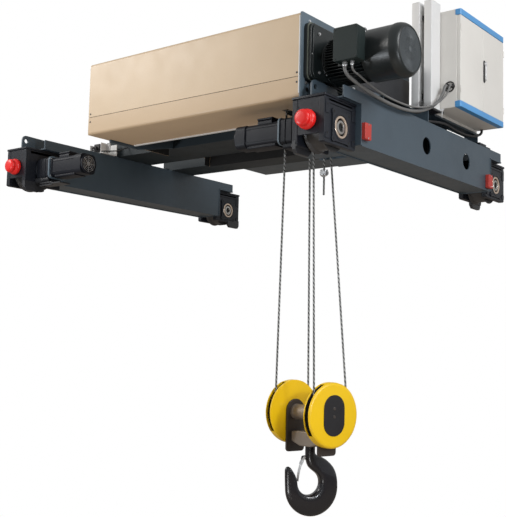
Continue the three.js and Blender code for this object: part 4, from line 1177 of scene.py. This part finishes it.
# Painted highlight: a thin strip at the case's joint, lighter than the case, for the line of light along its
# edge
strip = Shape().slab(X, -1.001, -0.559, 0.344, 0.641, 0.031, 6, low.x + 0.0205, low.x + 0.0235)
strip.done("case_joint", JOINT_HIGHLIGHT)
bolts = Shape()
for y, z in ((-0.936, 0.585), (-0.93, 0.39), (-0.78, 0.603), (-0.625, 0.598), (-0.612, 0.385),
             (-0.78, 0.376)):
    bolts.bolt(X, (low.x + 0.0478, y, z), 7.5 * MM)
for y, z in ((-0.983, 0.474), (-0.572, 0.474)):
    bolts.screw(X, (low.x + 0.04, y, z), 4.5 * MM)
for y, z in ((-0.955, 0.655), (-0.6, 0.655), (-0.6, 0.328), (-0.975, 0.335)):
    bolts.bolt(X, (plate_face, y, z), 7 * MM)
for y, z in circle(MOTOR_Y, MOTOR_Z, 0.108, 4, PI / 4):
    bolts.bolt(X, (low.x + 0.0555, y, z), 5 * MM)
bolts.done("case_bolts", ZINC)

low, high = corner("motor_body")
place = Matrix.Translation((0, MOTOR_Y, MOTOR_Z))
barrel = [(0, low.x), (0.1, low.x), (0.104, low.x + 0.002), (0.104, low.x + 0.008), (0.098, low.x + 0.01),
          (0.098, high.x - 0.03), (0.11, high.x - 0.026), (0.112, high.x - 0.022), (0.112, high.x - 0.001),
          (0, high.x - 0.001)]
motor = Shape(place).lathe(X, (0, 0, 0), barrel, 64)
CORE_R, FIN_STEP, FIN_HALF = 0.094, 0.0135, 0.0016
for fins, fin_r, upright in ((range(-7, 8), 0.125, False), (range(-4, 5), 0.12, True)):
    for offset in (k * FIN_STEP for k in fins):
        for side in (-1, 1):
            near = [side * chord(CORE_R, offset), offset - FIN_HALF]
            far = [side * chord(fin_r, offset), offset + FIN_HALF]
            if upright:
                near, far = near[::-1], far[::-1]
            motor.box((low.x + 0.003, *near), (high.x - 0.026, *far))
motor.box((low.x + 0.09, -0.128, -0.062), (high.x - 0.05, -0.09, 0.062))
motor.done("hoist_motor", MOTOR_PAINT, hides=["motor_body"], bevel=0.0007)
cowl_low, cowl_high = corner("motor_cowl")
x0, x1 = cowl_low.x - 0.042, cowl_high.x
rim = [(0.1265, x0 - x1), (0.13, x0 - x1), (0.1305, -0.06), (0.1335, -0.054), (0.134, -0.046),
       (0.1328, -0.032), (0.1285, -0.018), (0.122, -0.0075), (0.116, -0.0018), (0.111, -0.0002),
       (0.107, -0.0012), (0.1055, -0.0045), (0.108, -0.007), (0.12, -0.016), (0.1255, -0.034)]
cowl = Shape(place).ring(X, X * x1, rim, 96)
cowl.done("fan_cowl", MOTOR_PAINT, hides=["motor_cowl"], angle=28)
mesh_guard = Shape(place)
x = x1 - 0.0035
for k in range(1, 25):
    radius = 0.0044 * k
    mesh_guard.tube(X, (0, 0, 0), radius - 0.0011, radius + 0.0011, x - 0.0009, x + 0.0007, 64)
for k, (radial, _) in enumerate(around(64)):
    inner = 0.006 if k % 16 == 0 else 0.028 if k % 4 == 0 else 0.056
    mesh_guard.wire([X * x + radial * r for r in (inner, 0.08, 0.1085)], 0.001, 6)
mesh_guard.bar(X, (0, 0, 0), 0.012, x - 0.001, x + 0.0016, 32)
mesh_guard.done("cowl_grille", GRILLE_WIRE)
back_plate = [(0, -0.03), (0.03, -0.03), (0.034, -0.034), (0.036, -0.06), (0.11, -0.07), (0.11, -0.074),
              (0, -0.074)]
blower = Shape(place).lathe(X, X * x1, back_plate, 48)
for radial, wide in around(7):
    verts = [X * x + radial * r + wide * half
             for r in (0.034, 0.108) for x in (x1 - 0.071, x1 - 0.022) for half in (-0.0015, 0.0015)]
    blower.add(verts, BLADE_FACES)
blower.done("cooling_fan", BLACK_SHEATH)
eye = Shape()
EYE_X, EYE_Z = 1.273, 0.6035
eye.bar(Z, (EYE_X, MOTOR_Y, 0), 0.008, 0.574, 0.59, 24)
loop = [Vector((EYE_X, y, z)) for y, z in circle(MOTOR_Y, EYE_Z, 0.0165, 32)]
eye.wire(loop + loop[:1], 0.0048, 12, caps=False)
foot = [(0, 0.5835), (0.0155, 0.5835), (0.0155, 0.588), (0.0095, 0.5895), (0, 0.5895)]
eye.lathe(Z, (EYE_X, MOTOR_Y, 0), foot, 28)
eye.done("lifting_eye", ZINC)

# Terminal box: a body with a lid on four screws, and two glands underneath
low, high = corner("terminal_box")
box_low = 0.405
low.x, high.x = low.x + 0.012, high.x + 0.012
tbox = Shape().slab(Y, box_low, high.z, low.x, high.x, 0.008, 4, low.y + 0.016, high.y)
tbox.slab(Y, box_low - 0.0005, high.z + 0.0005, low.x - 0.0005, high.x + 0.0005, 0.009, 4, low.y,
          low.y + 0.0135)
tbox.done("junction_box", JUNCTION_PAINT, hides=["terminal_box"], bevel=0.0022, segments=3)
seal = Shape().slab(Y, box_low + 0.002, high.z - 0.002, low.x + 0.002, high.x - 0.002, 0.007, 4,
                    low.y + 0.013, low.y + 0.0165)
seal.done("junction_seal", BLACK_SHEATH)
screws = Shape()
for x in (low.x + 0.01, high.x - 0.01):
    for z in (box_low + 0.01, high.z - 0.01):
        screws.screw(-Y, (x, low.y, z), 2.6 * MM)
screws.done("junction_screws", PLATE_BLACK)
glands = Shape()
for x, r in ((1.262, 0.014), (1.304, 0.01)):
    at = (x, -0.963, box_low)
    glands.lathe(-Z, at, [(0, -0.001), (r, -0.001), (r, 0.006), (r * 0.85, 0.0065), (r * 0.85, 0.009)], 6)
    glands.lathe(-Z, at, [(r * 0.8, 0.006), (r * 0.93, 0.01), (r * 0.93, 0.016), (r * 0.72, 0.0215),
                          (r * 0.62, 0.022), (r * 0.6, 0.008)], 24)
glands.done("junction_glands", ZINC)


# ---------------------------------------------------------------- return sheave, fork and rope anchor

fork = Shape(RETURN)
foot = 0.0433 - RETURN_Z
for x0, x1 in ((-0.03, -0.02), (0.02, 0.03)):
    head = circle(0, 0.004, 0.0255, 10, 0.25, PI - 0.5)
    fork.plate(X, [(-0.04, foot), (0.04, foot), (0.034, 0.01)] + head + [(-0.034, 0.01)], x0, x1)
fork.box((-0.03, -0.04, foot), (0.03, 0.04, foot + 0.004))
fork.lathe(X, (0, 0, 0), mirrored([(0, -0.036), (0.014, -0.036), (0.014, -0.031), (0.0195, -0.03)]), 32)
fork.done("sheave_fork", CAST_PAINT, hides=["return_sheave_fork"], bevel=0.0012)
groove = [(0.0215, -0.016), (0.036, -0.016), (0.038, -0.007), (0.108, -0.007), (0.112, -0.014),
          (0.134, -0.016), (0.135, -0.0135), (0.1225, -0.007), (0.119, -0.0035), (0.1186, 0.0)]
wheel = Shape(RETURN).ring(X, (0, 0, 0), mirrored(groove), 96)
wheel.done("upper_sheave", WORN_STEEL, "return_sheave", ["return_sheave"])

ANCHOR_Y, ANCHOR_TOP, TAIL_X = -0.59, 0.185, 0.903
socket = Shape()
wedge = [(0.892, 0.205), (0.96, 0.205), (0.956, 0.15), (0.948, 0.1255), (0.928, 0.1255), (0.922, 0.14),
         (0.914, 0.1255), (0.894, 0.1255), (0.89, 0.15)]
socket.plate(-Y, [(z, -x) for x, z in reversed(wedge)], 0.5765, 0.6075)
socket.bar(X, (0, ANCHOR_Y, ANCHOR_TOP), 0.0088, 0.886, 0.966, 24)
socket.done("wedge_socket", CAST_PAINT, hides=["rope_anchor"], bevel=0.002)
rope("rope_tail", straight_points((TAIL_X, ANCHOR_Y, 0.128), (TAIL_X, ANCHOR_Y, -0.157)))
clip = Shape()
for z in (-0.026, -0.05):
    ring = [Vector((TAIL_X + 0.017 * math.cos(2 * PI * i / 28),
                    ANCHOR_Y + 0.014 * math.sin(2 * PI * i / 28), z + 0.0025 * math.sin(4 * PI * i / 28)))
            for i in range(29)]
    clip.wire(ring, 0.0046, 10, caps=False)
clip.box((0.883, ANCHOR_Y - 0.0135, -0.046), (0.923, ANCHOR_Y + 0.0135, -0.03))
for x in (0.8905, 0.9155):
    clip.bolt(Y, (x, ANCHOR_Y + 0.006, -0.038), 3.6 * MM)
    clip.bar(Y, (x, ANCHOR_Y, -0.038), 0.0028, -0.015, 0.014, 12)
clip.done("rope_clip", ZINC, bevel=0.0006)


# ---------------------------------------------------------------- posts, tray and cabinet

for number in (1, 2):
    low, high = corner(f"post_{number}")
    post = Shape().slab(Z, low.x, high.x, low.y, high.y, 0.005, 4, low.z, high.z - 0.003)
    post = post.done(f"tall_post_{number}", WHITE_PAINT, hides=[f"post_{number}"], bevel=0.0008)
    carve(post, Shape().slab(Z, low.x + 0.004, high.x - 0.004, low.y + 0.004, high.y - 0.004, 0.003, 4,
                             low.z - 0.01, high.z - 0.008))
    cap = Shape().slab(Z, low.x + 0.001, high.x - 0.001, low.y + 0.001, high.y - 0.001, 0.005, 4,
                       high.z - 0.0032, high.z)
    cap.done(f"post_cap_{number}", WHITE_PAINT, bevel=0.001)
gusset = Shape().plate(Y, [(0.3995, 1.24), (0.425, 1.255), (0.36, 1.248)], 0.0955, 0.0985)
gusset.plate(Y, [(0.4, 1.19), (0.415, 1.19), (0.415, 1.262), (0.395, 1.25)], 0.096, 0.099)
gusset.done("post_gusset", WHITE_PAINT, bevel=0.0006)
braces = Shape()
low, high = corner("post_1")
for z in (0.47, 0.93):
    braces.box((low.x + 0.049, 0.02, z), (low.x + 0.079, 0.06, z + 0.03))
braces.done("post_links", PLATE_BLACK, bevel=0.001)

low, high = corner("equipment_tray")
tray_top = high.z
TRAY_LEFT, TRAY_RIGHT, TRAY_FRONT, TRAY_BACK, NECK_Y = 1.1, 1.19, -0.06, 0.72, 0.12
GRID_LEFT, GRID_RIGHT, GRID_STEP = 1.16, 1.245, 0.0118
tray = Shape()
for near, far in (
        ((TRAY_LEFT, TRAY_FRONT, tray_top - 0.003), (GRID_LEFT, NECK_Y, tray_top)),
        ((TRAY_LEFT, NECK_Y - 0.001, tray_top - 0.003), (TRAY_RIGHT, TRAY_BACK, tray_top)),
        ((TRAY_LEFT, TRAY_FRONT, BEAM_TOP), (1.24, -0.052, tray_top - 0.001)),
        ((TRAY_LEFT, 0.704, BEAM_TOP), (TRAY_RIGHT, 0.712, tray_top - 0.001)),
        ((TRAY_LEFT, TRAY_FRONT, tray_top - 0.012), (TRAY_LEFT + 0.004, TRAY_BACK, tray_top)),
        ((TRAY_RIGHT - 0.004, NECK_Y - 0.001, tray_top - 0.012), (TRAY_RIGHT, TRAY_BACK, tray_top))):
    tray.box(near, far)
tray.done("tray", BEAM_PAINT, hides=["equipment_tray"], bevel=0.001)
# Painted shade: the perforated grid is black for the shade it lies in
grid = Shape()
for i in range(8):
    x = GRID_LEFT + 0.0005 + GRID_STEP * i
    grid.box((x, TRAY_FRONT, tray_top - 0.003), (x + 0.0035, NECK_Y, tray_top))
for j in range(16):
    y = TRAY_FRONT + GRID_STEP * j
    grid.box((GRID_LEFT, y, tray_top - 0.0028), (GRID_RIGHT, y + 0.0035, tray_top - 0.0002))
grid.box((GRID_LEFT, TRAY_FRONT, tray_top - 0.01), (GRID_RIGHT, TRAY_FRONT + 0.003, tray_top))
grid.box((GRID_RIGHT - 0.003, TRAY_FRONT, tray_top - 0.01), (GRID_RIGHT, NECK_Y, tray_top))
grid.done("perforated_tray", PLATE_BLACK, slot="bluegrey_paint")

CAB_LOW, CAB_HIGH = 0.416, 0.99
low, high = corner("cabinet_body")
left, face, front_y, back_y = 1.135, high.x, 0.1, 0.708
door_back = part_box("cabinet_door_left")[0].x
shell = Shape().slab(Z, left, door_back - 0.0003, front_y, back_y, 0.004, 3, CAB_LOW, CAB_HIGH)
shell.box((1.14, 0.125, tray_top + 0.0003), (1.188, 0.7, CAB_LOW + 0.001))
shell = shell.done("cabinet_shell", CABINET_PAINT, hides=["cabinet_body"], bevel=0.0012)
carve(shell, Shape().box((left + 0.004, front_y + 0.012, CAB_LOW + 0.012),
                         (door_back + 0.01, back_y - 0.012, CAB_HIGH - 0.012)))
inside = Shape().box((left + 0.012, front_y + 0.04, CAB_LOW + 0.04),
                     (left + 0.016, back_y - 0.04, CAB_HIGH - 0.04))
for z in (0.56, 0.7, 0.84):
    inside.box((left + 0.016, front_y + 0.06, z - 0.004), (left + 0.024, back_y - 0.06, z + 0.031))
inside.done("mounting_plate", ZINC, bevel=0.0008)
gear = Shape()
for z, width, depth, count in ((0.575, 0.045, 0.07, 8), (0.715, 0.055, 0.095, 6), (0.855, 0.036, 0.06, 11)):
    for k in range(count):
        y = front_y + 0.075 + k * (width + 0.004)
        gear.box((left + 0.024, y, z - 0.038), (left + 0.024 + depth, y + width, z + 0.038))
        gear.box((left + 0.023 + depth, y + 0.008, z - 0.014),
                 (left + 0.027 + depth, y + width - 0.008, z + 0.014))
gear.done("switchgear", BLACK_SHEATH, bevel=0.0015)

trims = Shape()
for z0, z1 in ((CAB_LOW - 0.0004, CAB_LOW + 0.035), (CAB_HIGH - 0.035, CAB_HIGH + 0.0004)):
    outline = [(door_back - 0.012, front_y - 0.0012), (face - 0.006, front_y - 0.0012),
               (face, front_y + 0.005), (face, back_y - 0.005), (face - 0.006, back_y + 0.0012),
               (door_back - 0.012, back_y + 0.0012)]
    trims.plate(Z, outline, z0, z1)
trims.done("cabinet_trims", BLUE_PAINT, bevel=0.003, segments=4)
gasket = Shape()
for y0, y1 in ((front_y + 0.01, front_y + 0.014), (back_y - 0.014, back_y - 0.01)):
    gasket.box((door_back - 0.0006, y0, CAB_LOW + 0.04), (door_back - 0.0001, y1, CAB_HIGH - 0.04))
gasket.done("door_gasket", BLACK_SHEATH)
for side in SIDES:
    low, high = corner(f"cabinet_door_{side}")
    door = Shape().slab(X, low.y, high.y, low.z, high.z, 0.003, 3, low.x, high.x)
    door.done(f"door_{side}", CABINET_PAINT, f"cabinet_door_{side}", [f"cabinet_door_{side}"], bevel=0.0022,
              segments=3)
    hinge_y = low.y + 0.004 if side == "left" else high.y - 0.004
    hinges = Shape()
    for z in (0.52, 0.88):
        hinges.bar(Z, (high.x + 0.0012, hinge_y, 0), 0.0034, z - 0.02, z + 0.02, 16)
    hinges.done(f"door_hinges_{side}", CABINET_PAINT, f"cabinet_door_{side}")

low, high = corner("door_handle")
pivot_y, door_face = 0.422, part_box("cabinet_door_right")[1].x
escutcheon = Shape().slab(X, pivot_y - 0.013, pivot_y + 0.013, 0.63, 0.766, 0.0125, 8, door_face,
                          door_face + 0.003)
escutcheon.done("handle_plate", PLATE_BLACK, "cabinet_door_right", bevel=0.001)
grip = Shape().bar(X, (0, pivot_y, 0.745), 0.0088, door_face + 0.0003, door_face + 0.0145, 28)
grip.slab(X, pivot_y - 0.0078, pivot_y + 0.0078, 0.6402, 0.756, 0.0072, 6, high.x - 0.0078, high.x - 0.0002)
grip.done("swing_handle", ZINC, "door_handle", ["door_handle"], bevel=0.0014, slot="black_cable")
inlay = Shape().slab(X, pivot_y - 0.0064, pivot_y + 0.0064, 0.645, 0.73, 0.006, 5, high.x - 0.0006,
                     high.x + 0.0003)
inlay.bar(X, (0, pivot_y, 0.745), 0.0045, high.x - 0.001, high.x + 0.0005, 20)
inlay.done("handle_inlay", WHITE_PAINT, "door_handle", slot="black_cable")

GLAND_Z = 0.538
glands = Shape()
for x, r in ((1.284, 0.0165), (1.314, 0.0125)):
    nut = [(r - 0.006, -0.001), (r, -0.001), (r, 0.0045), (r - 0.001, 0.006), (r - 0.003, 0.0175),
           (r - 0.006, 0.0178)]
    glands.ring(-Y, (x, front_y, GLAND_Z), nut, 32)
collar = [(0.025, -0.0005), (0.0315, -0.0005), (0.032, 0.0035), (0.0305, 0.0055), (0.0265, 0.0055),
          (0.025, 0.003)]
glands.ring(-Y, (1.293, front_y, GLAND_Z), collar, 48)
glands.done("cabinet_glands", BLACK_SHEATH)

# Two thin leads beside the thick one, each on its own route
lead("lead_sensor", [(1262, -900, 352), (1258, -800, 322), (1256, -640, 309.5), (1256, -420, 309.5),
                     (1250, -250, 316), (1238, -140, 345), (1222, -62, 396), (1215, -30, 408),
                     (1205, 0, 409)], 3.5 * MM, BLACK_SHEATH, [], 90)
lead("lead_switch", [(1205, -56, 409), (1185, -50, 412), (1173, -38, 432), (1172, 20, 470), (1172, 45, 520),
                     (1172, 50, 600), (1172, 50, 700)], 3 * MM, GREY_SHEATH, [], 60)


# ---------------------------------------------------------------- floor, light and camera

def area_light(name, at, towards, size, power, color=(1, 1, 1)):
    """A soft box of light, aimed at a point."""
    data = bpy.data.lights.new(name, "AREA")
    data.shape, data.size, data.size_y = "RECTANGLE", size, size * 0.7
    data.energy, data.color = power, color
    lamp = bpy.data.objects.new(name, data)
    bpy.context.scene.collection.objects.link(lamp)
    lamp.location = at
    lamp.rotation_euler = (Vector(towards) - Vector(at)).to_track_quat("-Z", "Y").to_euler()


def seen_white(tree, shaded, white_node):
    """Shows the camera an even white while the scene is lit by the shaded finish."""
    nodes, links = tree.nodes, tree.links
    path = nodes.new("ShaderNodeLightPath")
    mix = nodes.new("ShaderNodeMixShader")
    white = nodes.new(white_node)
    white.inputs["Strength"].default_value = 1.0
    white.inputs["Color"].default_value = (1.0, 1.0, 1.0, 1)
    links.new(path.outputs["Is Camera Ray"], mix.inputs["Fac"])
    links.new(shaded, mix.inputs[1])
    links.new(white.outputs[0], mix.inputs[2])
    return mix.outputs["Shader"]


FLOOR_HALF, FLOOR_Z = 60.0, -2.35
ground = bpy.data.meshes.new("floor")
floor_corners = [(x * FLOOR_HALF, y * FLOOR_HALF, FLOOR_Z) for x, y in ((-1, -1), (1, -1), (1, 1), (-1, 1))]
ground.from_pydata(floor_corners, [], [(0, 1, 2, 3)])
floor_paint = material("floor_paint", (0.33, 0.28, 0.235), 0.8, vary=0.02, grain=20, bump=0.0, spread=0.05)
tree = floor_paint.node_tree
surface = seen_white(tree, tree.nodes["Principled BSDF"].outputs["BSDF"], "ShaderNodeEmission")
tree.links.new(surface, tree.nodes["Material Output"].inputs["Surface"])
ground.materials.append(floor_paint)
floor = bpy.data.objects.new("floor", ground)
bpy.context.scene.collection.objects.link(floor)

world = bpy.data.worlds.new("studio")
world.use_nodes = True
tree = world.node_tree
light = tree.nodes["Background"]
light.inputs["Color"].default_value = (1.0, 1.0, 1.0, 1)
light.inputs["Strength"].default_value = 0.52
surface = seen_white(tree, light.outputs["Background"], "ShaderNodeBackground")
tree.links.new(surface, tree.nodes["World Output"].inputs["Surface"])
bpy.context.scene.world = world
bpy.context.scene.view_settings.view_transform = "Standard"

MIDDLE, BLOCK_FOOT = (0.3, -0.4, 0.1), (0.9, -0.7, -1.6)
area_light("key", (-3.4, -3.7, 2.6), (-0.4, -0.9, 0.4), 2.2, 150, (1.0, 0.98, 0.95))
area_light("side", (5.6, -1.0, 2.6), MIDDLE, 2.4, 165, (0.97, 0.98, 1.0))
area_light("low_left", (-0.9, -2.6, -0.4), (0.9, -0.7, -1.5), 0.24, 26, (0.88, 0.94, 1.0))
area_light("low_right", (3.4, -1.9, -0.5), BLOCK_FOOT, 0.3, 26, (0.88, 0.94, 1.0))
area_light("low_front", (1.6, -2.4, -2.1), BLOCK_FOOT, 0.4, 4)

AZIMUTH, ELEVATION, ROLL = math.radians(38.276), math.radians(-5.427), math.radians(1.437)
back = Vector((math.sin(AZIMUTH) * math.cos(ELEVATION), -math.cos(AZIMUTH) * math.cos(ELEVATION),
               math.sin(ELEVATION)))
level = Vector((math.cos(AZIMUTH), math.sin(AZIMUTH), 0))
upright = back.cross(level)
right = level * math.cos(ROLL) + upright * math.sin(ROLL)
above = -level * math.sin(ROLL) + upright * math.cos(ROLL)
lens = bpy.data.cameras.new("camera")
lens.lens, lens.sensor_width = 62.9, 36
lens.clip_end = 200
camera = bpy.data.objects.new("camera", lens)
bpy.context.scene.collection.objects.link(camera)
turn = Matrix((right, above, back)).transposed().to_4x4()
camera.matrix_world = Matrix.Translation((3.558, -4.548, -0.957)) @ turn
bpy.context.scene.camera = camera
